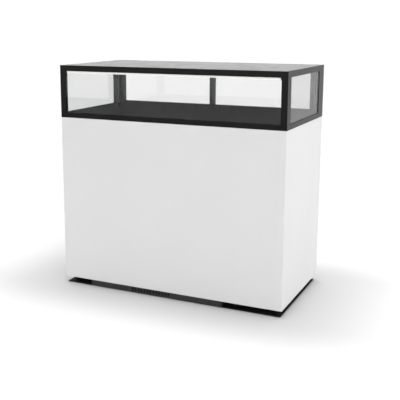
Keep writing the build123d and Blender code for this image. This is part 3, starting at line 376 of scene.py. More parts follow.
def build_mottle():
    """Slow and fast variation between two tones of one colour."""
    group, entry, leave = shader_group(
        "case_mottle",
        [
            ("Scale", FLOAT, 4.0), ("Light tone", COLOUR, (0.8, 0.8, 0.8, 1.0)),
            ("Deep tone", COLOUR, (0.7, 0.7, 0.7, 1.0)),
        ],
        [("Color", COLOUR)],
    )
    clouds = noise(group, entry["Vector"], entry["Scale"], detail=4.0, roughness=0.55)
    mask = remap(group, clouds, (0.35, 0.65))
    feed(group, blend(group, mask, entry["Light tone"], entry["Deep tone"]), leave["Color"])
    return group


def build_peel():
    """Fine skin of sprayed or moulded surfaces, as a height."""
    group, entry, leave = shader_group(
        "case_peel", [("Scale", FLOAT, 700.0), ("Grit", FLOAT, 0.3)], [("Height", FLOAT)],
    )
    soft = noise(group, entry["Vector"], entry["Scale"], detail=2.0)
    finer = calculate(group, "MULTIPLY", entry["Scale"], GRIT_FINENESS)
    sharp = noise(group, entry["Vector"], finer, detail=1.0)
    feed(group, blend(group, entry["Grit"], soft, sharp, "FLOAT"), leave["Height"])
    return group


def build_grain():
    """Long fine lines of brushed or drawn metal."""
    group, entry, leave = shader_group(
        "case_grain",
        [("Stretch", VECTOR, (6.0, 6.0, 900.0)), ("Low", FLOAT, 0.25), ("High", FLOAT, 0.4)],
        [("Height", FLOAT), ("Roughness", FLOAT)],
    )
    stretched = calculate(group, "MULTIPLY", entry["Vector"], entry["Stretch"], kind=VECTOR_MATH)
    lines = noise(group, stretched, scale=1.0, detail=3.0, roughness=0.6)
    feed(group, lines, leave["Height"])
    feed(group, remap(group, lines, end=(entry["Low"], entry["High"])), leave["Roughness"])
    return group


def build_handling():
    """Roughness that varies a little where cloths and hands have passed."""
    group, entry, leave = shader_group(
        "case_handling",
        [("Scale", FLOAT, 9.0), ("Low", FLOAT, 0.3), ("High", FLOAT, 0.36)],
        [("Roughness", FLOAT)],
    )
    wipes = noise(
        group, entry["Vector"], entry["Scale"], detail=5.0, roughness=0.6, distortion=0.8,
    )
    ends = (entry["Low"], entry["High"])
    feed(group, remap(group, wipes, (0.3, 0.7), ends), leave["Roughness"])
    return group


def build_dust():
    """Mask of the thin dust that settles on faces that look up."""
    group, entry, leave = shader_group("case_dust", [("Amount", FLOAT, 0.1)], [("Mask", FLOAT)])
    normal = shade(group, "ShaderNodeNewGeometry").outputs["Normal"]
    upward = shade(group, "ShaderNodeSeparateXYZ", Vector=normal).outputs["Z"]
    specks = noise(group, entry["Vector"], scale=60.0, detail=6.0, roughness=0.7)
    patch = calculate(group, "MULTIPLY", remap(group, upward, (0.6, 1.0)), specks)
    feed(group, calculate(group, "MULTIPLY", patch, entry["Amount"]), leave["Mask"])
    return group


GROUP_BUILDERS = {
    "case_mottle": build_mottle,
    "case_peel": build_peel,
    "case_grain": build_grain,
    "case_handling": build_handling,
    "case_dust": build_dust,
}


class Finish:
    """One material under construction: its tree, its Principled node and its coordinates."""

    def __init__(self, name, **plain):
        self.material = bpy.data.materials.new(name)
        self.material.use_nodes = True
        self.tree = self.material.node_tree
        self.tree.nodes.clear()
        self.skin = shade(self.tree, "ShaderNodeBsdfPrincipled", **plain)
        self.end = shade(self.tree, "ShaderNodeOutputMaterial", Surface=self.skin.outputs[0])
        self.place = shade(self.tree, "ShaderNodeTexCoord").outputs["Object"]

    def put(self, output, label):
        """Feeds an output to an input of the Principled node."""
        self.tree.links.new(output, self.skin.inputs[label])

    def group(self, name, **inputs):
        """Places a shared group, building it the first time, and gives back its outputs."""
        tree = bpy.data.node_groups.get(name) or GROUP_BUILDERS[name]()
        node = shade(
            self.tree, "ShaderNodeGroup", {"node_tree": tree}, Vector=self.place, **inputs,
        )
        return node.outputs

    def colour(self, light, deep, scale):
        """Base colour that varies between two tones."""
        tones = self.group(
            "case_mottle", Scale=scale, Light_tone=(*light, 1.0), Deep_tone=(*deep, 1.0),
        )
        self.put(tones["Color"], "Base Color")
        return tones["Color"]

    def rough(self, low, high, scale=9.0):
        """Roughness that varies between two values."""
        self.put(self.group("case_handling", Scale=scale, Low=low, High=high)["Roughness"], "Roughness")

    def bump(self, height, depth):
        """Raises the surface by a height output, depth in metres."""
        node = shade(self.tree, "ShaderNodeBump", Strength=1.0, Distance=depth, Height=height)
        self.put(node.outputs[0], "Normal")

    def peel(self, scale, depth, grit=0.3):
        """Fine sprayed or moulded skin, depth in millimetres."""
        self.bump(self.group("case_peel", Scale=scale, Grit=grit)["Height"], depth * MM)

    def grain(self, stretch, low, high, depth):
        """Brushed lines in roughness and height, depth in millimetres."""
        lines = self.group("case_grain", Stretch=stretch, Low=low, High=high)
        self.put(lines["Roughness"], "Roughness")
        self.bump(lines["Height"], depth * MM)

    def wave(self, scale, detail):
        """Faint wave of rolled glass."""
        self.bump(noise(self.tree, self.place, scale, detail), WAVE_DEPTH)

    def dust(self, amount):
        """Mixes settled dust over the base colour that is already linked."""
        mask = self.group("case_dust", Amount=amount)["Mask"]
        under = self.skin.inputs["Base Color"].links[0].from_socket
        self.put(blend(self.tree, mask, under, DUST), "Base Color")


def case_colour(name):
    """A colour of the sidebar."""
    return tuple(getattr(bpy.context.scene.case_colours, name))


def deeper(colour, share):
    """The same colour, darker by a share."""
    return tuple(part * (1.0 - share) for part in colour)


# Each look has its tones, as two colours or as a colour of the sidebar and how much deeper the second
# tone is, and the size of the mottle. Roughness is low, high and size, peel is size, depth in
# millimetres and grit, and grain is stretch, low, high and depth. The rest goes to the Principled node.
PLAIN_LOOKS = {
    "white_lacquer": dict(
        tones=("body", 0.02), scale=2.5, rough=(0.34, 0.4), peel=(650.0, 0.02),
        Specular_IOR_Level=0.45,
    ),
    "black_lacquer": dict(
        tones=("frame", 0.3), scale=6.0, rough=(0.1, 0.15), peel=(900.0, 0.002, 0.5), dust=0.01,
    ),
    "black_plinth": dict(
        tones=("plinth", 0.35), scale=8.0, rough=(0.5, 0.62), peel=(1100.0, 0.03, 0.6), dust=0.06,
        Specular_IOR_Level=0.4,
    ),
    # Vent panel: the plinth's black lifted to a grey, as painted light
    "vent_paint": dict(
        tones=("vent", 0.2), scale=9.0, rough=(0.3, 0.4), peel=(1000.0, 0.004, 0.5),
        Specular_IOR_Level=0.6,
    ),
    "frame_steel": dict(
        tones=((0.24, 0.25, 0.27), (0.19, 0.2, 0.215)), scale=10.0,
        rough=(0.5, 0.62), peel=(800.0, 0.03, 0.5), dust=0.05,
    ),
    "stainless": dict(
        tones=((0.58, 0.575, 0.56), (0.52, 0.515, 0.505)), scale=5.0,
        grain=((5.0, 900.0, 900.0), 0.22, 0.36, 0.01), Metallic=1.0,
    ),
    "aluminium": dict(
        tones=((0.78, 0.78, 0.79), (0.72, 0.72, 0.73)), scale=6.0,
        grain=((4.0, 1200.0, 1200.0), 0.26, 0.36, 0.006), Metallic=1.0,
    ),
    "gasket_rubber": dict(
        tones=((0.012, 0.012, 0.013), (0.007, 0.007, 0.008)), scale=30.0,
        rough=(0.6, 0.75), peel=(900.0, 0.04, 0.6), dust=0.06, Specular_IOR_Level=0.35,
    ),
    "circuit_board": dict(
        tones=((0.84, 0.86, 0.84), (0.78, 0.8, 0.78)), scale=40.0, peel=(900.0, 0.02), Roughness=0.4,
    ),
    "insulation": dict(
        tones=((0.72, 0.66, 0.5), (0.56, 0.5, 0.36)), scale=70.0, peel=(420.0, 0.4, 0.7),
        Roughness=0.95,
    ),
    "brass": dict(
        tones=((0.72, 0.55, 0.26), (0.6, 0.43, 0.18)), scale=40.0,
        rough=(0.25, 0.4, 60.0), peel=(800.0, 0.01), Metallic=1.0,
    ),
    "black_plastic": dict(
        tones=((0.014, 0.014, 0.015), (0.009, 0.009, 0.01)), scale=30.0,
        rough=(0.32, 0.45, 30.0), peel=(1500.0, 0.03, 0.6), dust=0.02,
    ),
    "grey_plastic": dict(
        tones=((0.2, 0.205, 0.215), (0.16, 0.165, 0.172)), scale=30.0,
        rough=(0.42, 0.55, 30.0), peel=(1400.0, 0.03, 0.6),
    ),
    "white_plastic": dict(
        tones=((0.8, 0.8, 0.77), (0.73, 0.73, 0.7)), scale=30.0,
        rough=(0.4, 0.52, 30.0), peel=(1200.0, 0.02), Subsurface_Weight=0.1,
    ),
    "smoked_window": dict(
        tones=((0.02, 0.004, 0.004), (0.012, 0.002, 0.002)), scale=40.0,
        rough=(0.06, 0.14, 60.0), Coat_Weight=0.6, Coat_Roughness=0.03,
    ),
    "green_rocker": dict(
        tones=((0.04, 0.36, 0.09), (0.03, 0.27, 0.065)), scale=60.0,
        rough=(0.18, 0.26, 60.0), peel=(1200.0, 0.01),
        Emission_Color=(0.05, 0.8, 0.16, 1.0), Emission_Strength=0.25,
    ),
    "zinc_screw": dict(
        tones=((0.7, 0.71, 0.73), (0.58, 0.59, 0.62)), scale=300.0,
        rough=(0.22, 0.36, 200.0), peel=(1500.0, 0.01), Metallic=1.0,
    ),
    "printed_mark": dict(
        tones=((0.8, 0.8, 0.8), (0.68, 0.68, 0.68)), scale=900.0, peel=(2500.0, 0.01),
        Roughness=0.5,
    ),
    # Pale colour of the strips on the rear posts: a painted highlight
    "buffer_strip": dict(
        tones=((0.8, 0.8, 0.79), (0.72, 0.72, 0.71)), scale=60.0,
        rough=(0.6, 0.72, 60.0), peel=(1600.0, 0.04, 0.6), Specular_IOR_Level=0.3,
    ),
    "pile_seal": dict(
        tones=((0.02, 0.02, 0.021), (0.008, 0.008, 0.008)), scale=900.0, peel=(2200.0, 0.4, 0.8),
        Roughness=0.9,
    ),
}


def plain_look(name, tones, scale, rough=(), peel=(), grain=(), dust=0.0, **skin):
    """A finish made of the shared effects alone."""
    made = Finish(name, **skin)
    light, deep = tones
    if isinstance(light, str):
        light = case_colour(light)
        deep = deeper(light, deep)
    made.colour(light, deep, scale)
    for effect, values in ((made.rough, rough), (made.peel, peel), (made.grain, grain)):
        if values:
            effect(*values)
    if dust:
        made.dust(dust)
    return made


def galvanised(name):
    """Zinc spangle: flat crystals of slightly different tone and shine."""
    made = Finish(name, Metallic=1.0)
    crystals = shade(made.tree, "ShaderNodeTexVoronoi", Vector=made.place, Scale=110.0)
    parts = shade(made.tree, "ShaderNodeSeparateColor", Color=crystals.outputs["Color"]).outputs
    tones = blend(made.tree, parts[0], (0.5, 0.52, 0.54, 1.0), (0.66, 0.68, 0.7, 1.0))
    made.put(tones, "Base Color")
    made.put(remap(made.tree, parts[1], end=(0.32, 0.48)), "Roughness")
    made.peel(500.0, 0.01)
    made.dust(0.04)
    return made


def float_glass(name):
    """Float glass in the colour of its name. Light from lamps passes straight through."""
    glass = case_colour(name)
    made = Finish(name, Roughness=0.0, IOR=1.5, Transmission_Weight=1.0)
    made.colour(glass, deeper(glass, 0.004), 3.0)
    made.wave(3.5, 0.0)
    to_lamp = shade(made.tree, "ShaderNodeLightPath").outputs["Is Shadow Ray"]
    open_way = shade(made.tree, "ShaderNodeBsdfTransparent", Color=(*glass, 1.0)).outputs[0]
    surface = mix_shaders(made.tree, to_lamp, made.skin.outputs[0], open_way)
    feed(made.tree, surface, made.end.inputs["Surface"])
    return made


def deck_ceramic(name):
    """Black glass-ceramic with hardly any shine."""
    made = Finish(name, Specular_IOR_Level=0.0, Coat_Weight=0.06, Coat_Roughness=0.04)
    deck = case_colour("deck")
    made.colour(deck, deeper(deck, 0.3), 5.0)
    made.rough(0.05, 0.1, 14.0)
    made.wave(4.0, 1.0)
    return made


def opal_cover(name):
    """Lit opal plastic, bright below and softer on its sides, with a faint spot at each lamp."""
    lamp = case_colour("lamp")
    made = Finish(name, Roughness=0.35, Emission_Strength=LAMP_STRENGTH)
    made.colour((0.93, 0.92, 0.89), (0.9, 0.89, 0.86), 12.0)
    board_low, board_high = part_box("led_board")
    pitch = (board_high.x - board_low.x) / LAMP_COUNT
    tree = made.tree
    along = shade(tree, "ShaderNodeSeparateXYZ", Vector=made.place).outputs["X"]
    ripple = calculate(tree, "COSINE", calculate(tree, "MULTIPLY", along, 2 * math.pi / pitch))
    spots = remap(tree, ripple, (-1.0, 1.0))
    below = blend(tree, spots, (*lamp, 1.0), (*deeper(lamp, 0.12), 1.0))
    normal = shade(tree, "ShaderNodeNewGeometry").outputs["Normal"]
    upward = shade(tree, "ShaderNodeSeparateXYZ", Vector=normal).outputs["Z"]
    sideways = remap(tree, upward, (-0.9, -0.3))
    made.put(blend(tree, sideways, below, (*deeper(lamp, 0.55), 1.0)), "Emission Color")
    return made


def heater_silicone(name):
    """Red silicone mat with the weave of its glass cloth."""
    made = Finish(name, Specular_IOR_Level=0.3)
    made.colour((0.42, 0.1, 0.06), (0.34, 0.075, 0.045), 25.0)
    made.rough(0.55, 0.7, 30.0)
    weave = shade(
        made.tree, "ShaderNodeTexBrick", Vector=made.place, Scale=180.0, Mortar_Size=0.05,
    )
    made.bump(weave.outputs["Fac"], 0.05 * MM)
    return made


def lit_digits(name):
    """Glowing segments, a little uneven."""
    glow = case_colour("digits")
    made = Finish(name, Roughness=0.4, Emission_Strength=2.2)
    made.put(made.colour(glow, deeper(glow, 0.15), 400.0), "Emission Color")
    return made


SPECIAL_LOOKS = {
    "galvanised": galvanised, "clear_glass": float_glass, "side_glass": float_glass,
    "deck_ceramic": deck_ceramic, "opal_cover": opal_cover, "heater_silicone": heater_silicone,
    "lit_digits": lit_digits,
}


def finish(name):
    """The material of that name, made once."""
    material = bpy.data.materials.get("case_" + name)
    if material is None:
        special = SPECIAL_LOOKS.get(name)
        made = special(name) if special else plain_look(name, **PLAIN_LOOKS[name])
        material = made.material
        material.name = "case_" + name
    return material


def paint(node):
    """Gives a shown CAD node the finish of its slot."""
    materials = frame["nodes"][node].data.materials
    materials.clear()
    materials.append(finish(SLOT_OF[node]))


def add_piece(name, bm, body, slot, look=None, stands_for=(), smooth=40.0):
    """Turns a bmesh into a finished piece that rides on a body."""
    mesh = bpy.data.meshes.new(name)
    bm.normal_update()
    bm.to_mesh(mesh)
    bm.free()
    mesh.materials.append(finish(look or slot))
    mesh.shade_smooth()
    mesh.set_sharp_from_angle(angle=math.radians(smooth))
    piece = bpy.data.objects.new(name, mesh)
    bpy.context.scene.collection.objects.link(piece)
    even = piece.modifiers.new("even_normals", "WEIGHTED_NORMAL")
    even.keep_sharp = True
    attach(piece, body)
    if stands_for:
        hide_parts(*stands_for)


def ease_edges(bm, radius, segments=3, shortest=0.0):
    """Rounds the outer edges of a bmesh that make a sharp turn."""
    edges = [
        edge
        for edge in bm.edges
        if len(edge.link_faces) == 2
        and edge.is_convex
        and edge.calc_face_angle(0.0) > SHARP_TURN
        and edge.calc_length() > shortest
    ]
    if not edges:
        raise RuntimeError("there is no edge to ease")
    bmesh.ops.bevel(
        bm, geom=edges, offset=radius, offset_type="OFFSET", segments=segments, profile=0.5,
        affect="EDGES", clamp_overlap=True, material=-1,
    )


def node_copy(node):
    """A merged bmesh copy of a CAD node, its flat faces joined."""
    bm = bmesh.new()
    bm.from_mesh(frame["nodes"][node].data)
    bmesh.ops.remove_doubles(bm, verts=bm.verts, dist=MERGE_DISTANCE)
    bmesh.ops.dissolve_limit(
        bm, angle_limit=FLAT_ANGLE, verts=bm.verts, edges=bm.edges, use_dissolve_boundaries=False,
    )
    return bm


def eased_node(node, radius, segments=3, shortest=0.0, look=None):
    """A CAD node with its edges rounded, in place of the sharp one."""
    bm = node_copy(node)
    ease_edges(bm, radius, segments, shortest)
    add_piece(f"{node}_eased", bm, BODY_OF[node], SLOT_OF[node], look, (node,))


def smooth_node(node):
    """A CAD node as it is, with its round faces shaded smooth, in place of the faceted one."""
    add_piece(f"{node}_smooth", node_copy(node), BODY_OF[node], SLOT_OF[node], stands_for=(node,))


def box_at(bm, low, high):
    """Adds a box between two corners to a bmesh and returns its vertices."""
    low, high = Vector(low), Vector(high)
    made = bmesh.ops.create_cube(bm, size=1.0)["verts"]
    bmesh.ops.scale(bm, vec=high - low, verts=made)
    bmesh.ops.translate(bm, vec=(low + high) / 2, verts=made)
    return made


def box_pair(bm, inner, outer, low, high):
    """Adds a box on each side of the middle, between two distances from it and two (Y, Z) corners."""
    for side in (-1, 1):
        near, far = sorted((side * inner, side * outer))
        box_at(bm, (near, *low), (far, *high))


def moved_verts(parts):
    """The vertices among what an operator gives back."""
    return [part for part in parts if isinstance(part, bmesh.types.BMVert)]


def open_ring(bm, radius, segments):
    """Adds an open circle and returns its vertices and its edges."""
    verts = bmesh.ops.create_circle(bm, radius=radius, segments=segments)["verts"]
    return verts, list({edge for vert in verts for edge in vert.link_edges})


def next_ring(bm, ring):
    """Extrudes a ring of edges and returns the new edges and their vertices."""
    made = bmesh.ops.extrude_edge_only(bm, edges=ring)["geom"]
    return [part for part in made if isinstance(part, bmesh.types.BMEdge)], moved_verts(made)


def facing(place, out=REARWARD, up=UPWARD):
    """Matrix that lays flat work at a place, its front towards out and its top towards up."""
    out, up = Vector(out).normalized(), Vector(up).normalized()
    turn = Matrix((up.cross(out), up, out)).transposed().to_4x4()
    return Matrix.Translation(place) @ turn


def rear_middle(node, left=0.0, inward=0.0):
    """Middle of a node's rear face, or a place beside it."""
    low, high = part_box(node)
    return Vector(((low.x + high.x) / 2 - left, high.y - inward, (low.z + high.z) / 2))


def join_at(bm, other, place):
    """Adds a finished bmesh to another one, laid by a matrix."""
    other.transform(place)
    carrier = bpy.data.meshes.new("carrier")
    other.to_mesh(carrier)
    other.free()
    bm.from_mesh(carrier)
    bpy.data.meshes.remove(carrier)


def thicken(bm, depth):
    """Gives flat work its thickness, forwards along Z."""
    made = bmesh.ops.extrude_face_region(bm, geom=bm.faces[:])["geom"]
    bmesh.ops.translate(bm, vec=(0.0, 0.0, depth), verts=moved_verts(made))
    bmesh.ops.recalc_face_normals(bm, faces=bm.faces)


def flat_bar(bm, length, width, place=(0.0, 0.0), turn=0.0):
    """Flat bar with pointed ends, upright before it is turned."""
    reach = width / math.sqrt(3.0)
    made = bmesh.ops.create_circle(bm, cap_ends=True, radius=reach, segments=6)["verts"]
    for vert in made:
        vert.co.y += math.copysign(length / 2 - reach, vert.co.y)
    bmesh.ops.rotate(bm, verts=made, matrix=Matrix.Rotation(turn, 3, "Z"))
    bmesh.ops.translate(bm, vec=(*place, 0.0), verts=made)


def flat_arc(bm, radius, width, sweep=math.tau):
    """Flat ring, or an arc of one that is open at the top."""
    start = math.pi - sweep / 2
    ends = [
        bm.verts.new((side * math.sin(start), side * math.cos(start), 0.0))
        for side in (radius, radius - width)
    ]
    edge = bm.edges.new(ends)
    bmesh.ops.spin(
        bm, geom=[*ends, edge], cent=(0.0, 0.0, 0.0), axis=(0.0, 0.0, -1.0), dvec=(0.0, 0.0, 0.0),
        angle=sweep, steps=ARC_STEPS, use_merge=sweep == math.tau, use_duplicate=False,
    )


def mains_sign(size, width, depth):
    """Open ring with a bar in its gap."""
    bm = bmesh.new()
    flat_arc(bm, size / 2, width, MAINS_SWEEP)
    flat_bar(bm, size * MAINS_BAR, width, (0.0, size * MAINS_BAR_UP))
    thicken(bm, depth)
    return bm


def lamp_sign(size, width, depth):
    """Ring with a diagonal cross, the sign for a lamp."""
    bm = bmesh.new()
    flat_arc(bm, size / 2, width)
    thicken(bm, depth)
    for turn, share in LAMP_SIGN_BARS:
        bar = bmesh.new()
        flat_bar(bar, size - width, width, turn=turn)
        thicken(bar, depth * share)
        join_at(bm, bar, Matrix())
    return bm


def lit_reading(reading, height, depth):
    """Seven-segment number with a slight slant, and the heating lamp to its left."""
    bm = bmesh.new()
    wide, stroke = height * DIGIT_WIDTH, height * DIGIT_STROKE
    for number, digit in enumerate(f"{reading:02d}"):
        centre = (number - 0.5) * height * DIGIT_PITCH
        for bar in DIGIT_LIT[int(digit)]:
            across, up, turn = DIGIT_BARS[bar]
            length = wide if turn else height / 2
            flat_bar(
                bm, length - stroke * DIGIT_GAP, stroke, (centre + across * wide, up * height),
                math.radians(turn),
            )
    for vert in bm.verts:
        vert.co.x += vert.co.y * DIGIT_SLANT
    across, up, radius = (height * share for share in HEAT_LAMP)
    lamp = bmesh.ops.create_circle(bm, cap_ends=True, radius=radius, segments=16)["verts"]
    bmesh.ops.translate(bm, vec=(across, up, 0.0), verts=lamp)
    thicken(bm, depth)
    return bm


def pan_screw(head, rise, shank, length, recess):
    """Pan-head screw along Z, its cross recess opened to a round land and turned down to the shank."""
    bm = bmesh.new()
    bmesh.ops.create_grid(bm, x_segments=3, y_segments=3, size=recess / 2)
    arm = recess * RECESS_ARM
    for vert in bm.verts:
        for axis in (0, 1):
            if abs(vert.co[axis]) < recess * RECESS_INNER:
                vert.co[axis] = math.copysign(arm, vert.co[axis])
    corners = [
        face for face in bm.faces
        if min(abs(face.calc_center_median().x), abs(face.calc_center_median().y)) > arm
    ]
    bmesh.ops.delete(bm, geom=corners, context="FACES")
    floor = bmesh.ops.dissolve_faces(bm, faces=bm.faces[:])["region"]
    rim = [edge for edge in bm.edges if edge.is_boundary]
    sunk = moved_verts(bmesh.ops.extrude_face_region(bm, geom=floor)["geom"])
    bmesh.ops.delete(bm, geom=floor, context="FACES_ONLY")
    bmesh.ops.scale(bm, vec=(RECESS_TAPER, RECESS_TAPER, 1.0), verts=sunk)
    bmesh.ops.translate(bm, vec=(0.0, 0.0, -recess * RECESS_DEPTH), verts=sunk)
    ring = open_ring(bm, recess * RECESS_LAND, 24)[1]
    bmesh.ops.bridge_loops(bm, edges=rim + ring)
    for radius, height in (
        *((head * out, -rise * down) for out, down in HEAD_EDGE),
        (shank, -rise), (shank, -rise - length),
    ):
        ring, verts = next_ring(bm, ring)
        for vert in verts:
            flat = vert.co.xy.normalized() * radius
            vert.co = (flat.x, flat.y, height)
    bmesh.ops.holes_fill(bm, edges=ring)
    bmesh.ops.recalc_face_normals(bm, faces=bm.faces)
    bmesh.ops.translate(bm, vec=(0.0, 0.0, rise), verts=bm.verts)
    return bm


def round_at(turn):
    """A circle reaches equally far at every angle."""
    return 1.0


def hexagon_at(turn):
    """How far a hexagon reaches at an angle, its corner being 1."""
    sixth = math.pi / 3
    return math.cos(sixth / 2) / math.cos(turn % sixth - sixth / 2)


def ribbed_at(turn):
    """Shallow ribs round the dome nut."""
    return 1.0 if (turn * RIB_COUNT / 2 / math.pi) % 1.0 < 0.5 else RIB_HOLLOW


# Outside of the cable gland from its threaded end to its dome nut, then back down its bore.
# Each row has the height and the radius, in millimetres, and the outline.
GLAND_PROFILE = (
    (-6.5, 8.0, round_at), (-6.5, 10.6, hexagon_at), (-6.1, 11.0, hexagon_at),
    (-1.9, 11.0, hexagon_at), (-1.5, 10.6, hexagon_at), (-1.5, 8.0, round_at),
    (0.0, 8.0, round_at), (0.0, 11.0, hexagon_at), (6.4, 11.0, hexagon_at),
    (7.0, 10.4, hexagon_at), (7.0, 9.0, round_at), (8.2, 9.0, round_at), (8.6, 9.5, ribbed_at),
    (15.5, 9.3, ribbed_at), (17.6, 8.9, ribbed_at), (18.2, 8.7, round_at), (19.8, 8.1, round_at),
    (21.2, 7.1, round_at), (22.0, 6.2, round_at), (22.0, 5.7, round_at), (21.4, 5.0, round_at),
    (-12.0, 5.0, round_at),
)


def gland_along_z():
    """Cable gland along Z, from the threaded end past lock nut and hexagon to the ribbed dome nut."""
    bm = bmesh.new()
    verts, first = open_ring(bm, GLAND_THREAD, 96)
    bmesh.ops.translate(bm, vec=(0.0, 0.0, GLAND_FOOT), verts=verts)
    ring = first
    for height, radius, outline in GLAND_PROFILE:
        ring, verts = next_ring(bm, ring)
        for vert in verts:
            turn = math.atan2(vert.co.y, vert.co.x) % math.tau
            reach = radius * MM * outline(turn + TURN_NUDGE)
            vert.co = (reach * math.cos(turn), reach * math.sin(turn), height * MM)
    bmesh.ops.bridge_loops(bm, edges=first + ring)
    bmesh.ops.recalc_face_normals(bm, faces=bm.faces)
    return bm


class CASE_OT_foot(bpy.types.Operator):
    """Finish the pads, base plate, plinth and slotted vent panel"""

    bl_idname = "case.foot"
    bl_label = "Foot and plinth"

    def execute(self, context):
        sizes = context.scene.case_sizes
        eased_node("floor_pads", sizes.pad_edge)
        eased_node("plinth_walls", sizes.sheet_edge, 2)
        # The vent panel gets the lighter grey, painted light
        eased_node("vent_panel", sizes.vent_edge, 2, look="vent_paint")
        eased_node("base_plate", sizes.frame_edge)
        return {"FINISHED"}


class CASE_OT_body(bpy.types.Operator):
    """Finish the white body panels"""

    bl_idname = "case.body"
    bl_label = "Body panels"

    def execute(self, context):
        for node in ("front_panel", "left_panel", "right_panel"):
            eased_node(node, context.scene.case_sizes.sheet_edge)
        return {"FINISHED"}


class CASE_OT_storage(bpy.types.Operator):
    """Finish the frame tubes, liner, shelf and brackets"""

    bl_idname = "case.storage"
    bl_label = "Storage space"

    def execute(self, context):
        sizes = context.scene.case_sizes
        for node in ("frame_rails", "frame_uprights"):
            eased_node(node, sizes.tube_edge)
        for node in (
            "storage_liner", "work_shelf", "shelf_brackets", "pivot_lugs", "pivot_pins",
            "door_catches",
        ):
            eased_node(node, sizes.sheet_edge, 2)
        return {"FINISHED"}


class CASE_OT_storage_doors(bpy.types.Operator):
    """Finish the hinged doors and their bow handles"""

    bl_idname = "case.storage_doors"
    bl_label = "Storage doors"

    def execute(self, context):
        sizes = context.scene.case_sizes
        for side in ("left", "right"):
            eased_node(f"{side}_door_pan", sizes.sheet_edge, shortest=PAN_SHORTEST)
            eased_node(f"{side}_door_handle", sizes.handle_edge)
            eased_node(f"{side}_door_backing", sizes.sheet_edge, 2)
        return {"FINISHED"}


def fascia_screws(sizes):
    """Pan-head screws in place of the plain ones, their recesses each turned a little further."""
    low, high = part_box("fascia_screws")
    face_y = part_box("rear_fascia")[1].y
    places = [
        (x, face_y, z)
        for z in (low.z + SCREW_HEAD, high.z - SCREW_HEAD)
        for x in (low.x + SCREW_HEAD, 0.0, high.x - SCREW_HEAD)
    ]
    bm = bmesh.new()
    for number, place in enumerate(places):
        screw = pan_screw(
            SCREW_HEAD, high.y - face_y, SCREW_HEAD / 2, face_y - low.y, sizes.recess_width,
        )
        join_at(bm, screw, facing(place) @ Matrix.Rotation(SCREW_TURN * number, 4, "Z"))
    add_piece("cross_screws", bm, "case", "zinc_screw", stands_for=("fascia_screws",), smooth=35.0)


def cable_gland():
    """Ribbed gland in place of the plain one."""
    bm = gland_along_z()
    bm.transform(facing(rear_middle("cable_gland", inward=GLAND_DOME)))
    add_piece("ribbed_gland", bm, "case", "black_plastic", stands_for=("cable_gland",), smooth=25.0)


class CASE_OT_fascia(bpy.types.Operator):
    """Finish the rear fascia, its screws and the electrics behind it"""

    bl_idname = "case.fascia"
    bl_label = "Rear fascia"

    def execute(self, context):
        sizes = context.scene.case_sizes
        for node in ("rear_fascia", "electrics_box", "terminal_block", "led_driver"):
            eased_node(node, sizes.vent_edge, 2)
        fascia_screws(sizes)
        cable_gland()
        return {"FINISHED"}


def temperature_reading(sizes):
    """Lit number on the window of the controller."""
    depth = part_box("controller_body")[1].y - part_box("controller_window")[1].y
    bm = lit_reading(sizes.reading, sizes.digit_height, depth)
    bm.transform(facing(rear_middle("controller_window", left=READING_SHIFT)))
    add_piece("temperature_reading", bm, "case", "smoked_window", "lit_digits")


def key_marks(sizes):
    """An arrow on each of two keys and a ring on the third."""
    for node in ("key_up", "key_down", "key_set"):
        bm = bmesh.new()
        if node == "key_set":
            flat_arc(bm, *KEY_RING)
        else:
            bmesh.ops.create_circle(bm, cap_ends=True, radius=KEY_ARROW, segments=3)
            bmesh.ops.scale(bm, vec=(1.0, KEY_ARROW_SQUASH, 1.0), verts=bm.verts)
        thicken(bm, sizes.print_depth)
        up = (0.0, 0.0, -1.0) if node == "key_down" else UPWARD
        bm.transform(facing(rear_middle(node), up=up))
        add_piece(f"{node}_mark", bm, BODY_OF[node], SLOT_OF[node], "printed_mark")


def switch_marks(sizes):
    """Ring and bar on the two faces of each rocker, and a sign under each switch."""
    fascia_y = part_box("rear_fascia")[1].y
    frame_low, frame_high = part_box("switch_frames")
    out = Matrix.Rotation(-ROCKER_TILT, 3, "X") @ Vector(REARWARD)
    up = Vector((1.0, 0.0, 0.0)).cross(out)
    slope = math.atan2(ROCKER_DIP, ROCKER_HALF)
    mark_front = ROCKER_FRONT - ROCKER_DIP * (1.0 - ROCKER_MARK_OUT)
    signs = bmesh.new()
    for node, sign in (("power_rocker", mains_sign), ("light_rocker", lamp_sign)):
        low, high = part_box(node)
        middle = Vector((
            (low.x + high.x) / 2, fascia_y - ROCKER_PIVOT, (frame_low.z + frame_high.z) / 2,
        ))
        bm = bmesh.new()
        for side, draw, measures in ((1, flat_arc, ROCKER_RING), (-1, flat_bar, ROCKER_BAR)):
            mark = bmesh.new()
            draw(mark, *measures)
            thicken(mark, sizes.print_depth)
            normal = (out * math.cos(slope) - up * side * math.sin(slope)).normalized()
            along = (up * math.cos(slope) + out * side * math.sin(slope)).normalized()
            half_way = out * mark_front + up * side * ROCKER_HALF * ROCKER_MARK_OUT
            join_at(bm, mark, facing(middle + half_way, normal, along))
        add_piece(f"{node}_marks", bm, BODY_OF[node], SLOT_OF[node], "printed_mark")
        height = sizes.mark_height
        spot = Vector((middle.x, fascia_y, frame_low.z - height * SIGN_DROP))
        join_at(signs, sign(height, height * SIGN_LINE, sizes.print_depth), facing(spot))
    add_piece("switch_signs", signs, "case", "black_lacquer", "printed_mark")


class CASE_OT_controls(bpy.types.Operator):
    """Finish the temperature controller and the two switches"""

    bl_idname = "case.controls"
    bl_label = "Controls"

    def execute(self, context):
        sizes = context.scene.case_sizes
        for node in ("controller_body", "switch_frames", "power_rocker", "light_rocker"):
            eased_node(node, sizes.plastic_edge)
        eased_node("controller_window", sizes.vent_edge, 2)
        for node in ("key_set", "key_up", "key_down"):
            smooth_node(node)
        temperature_reading(sizes)
        key_marks(sizes)
        switch_marks(sizes)
        return {"FINISHED"}


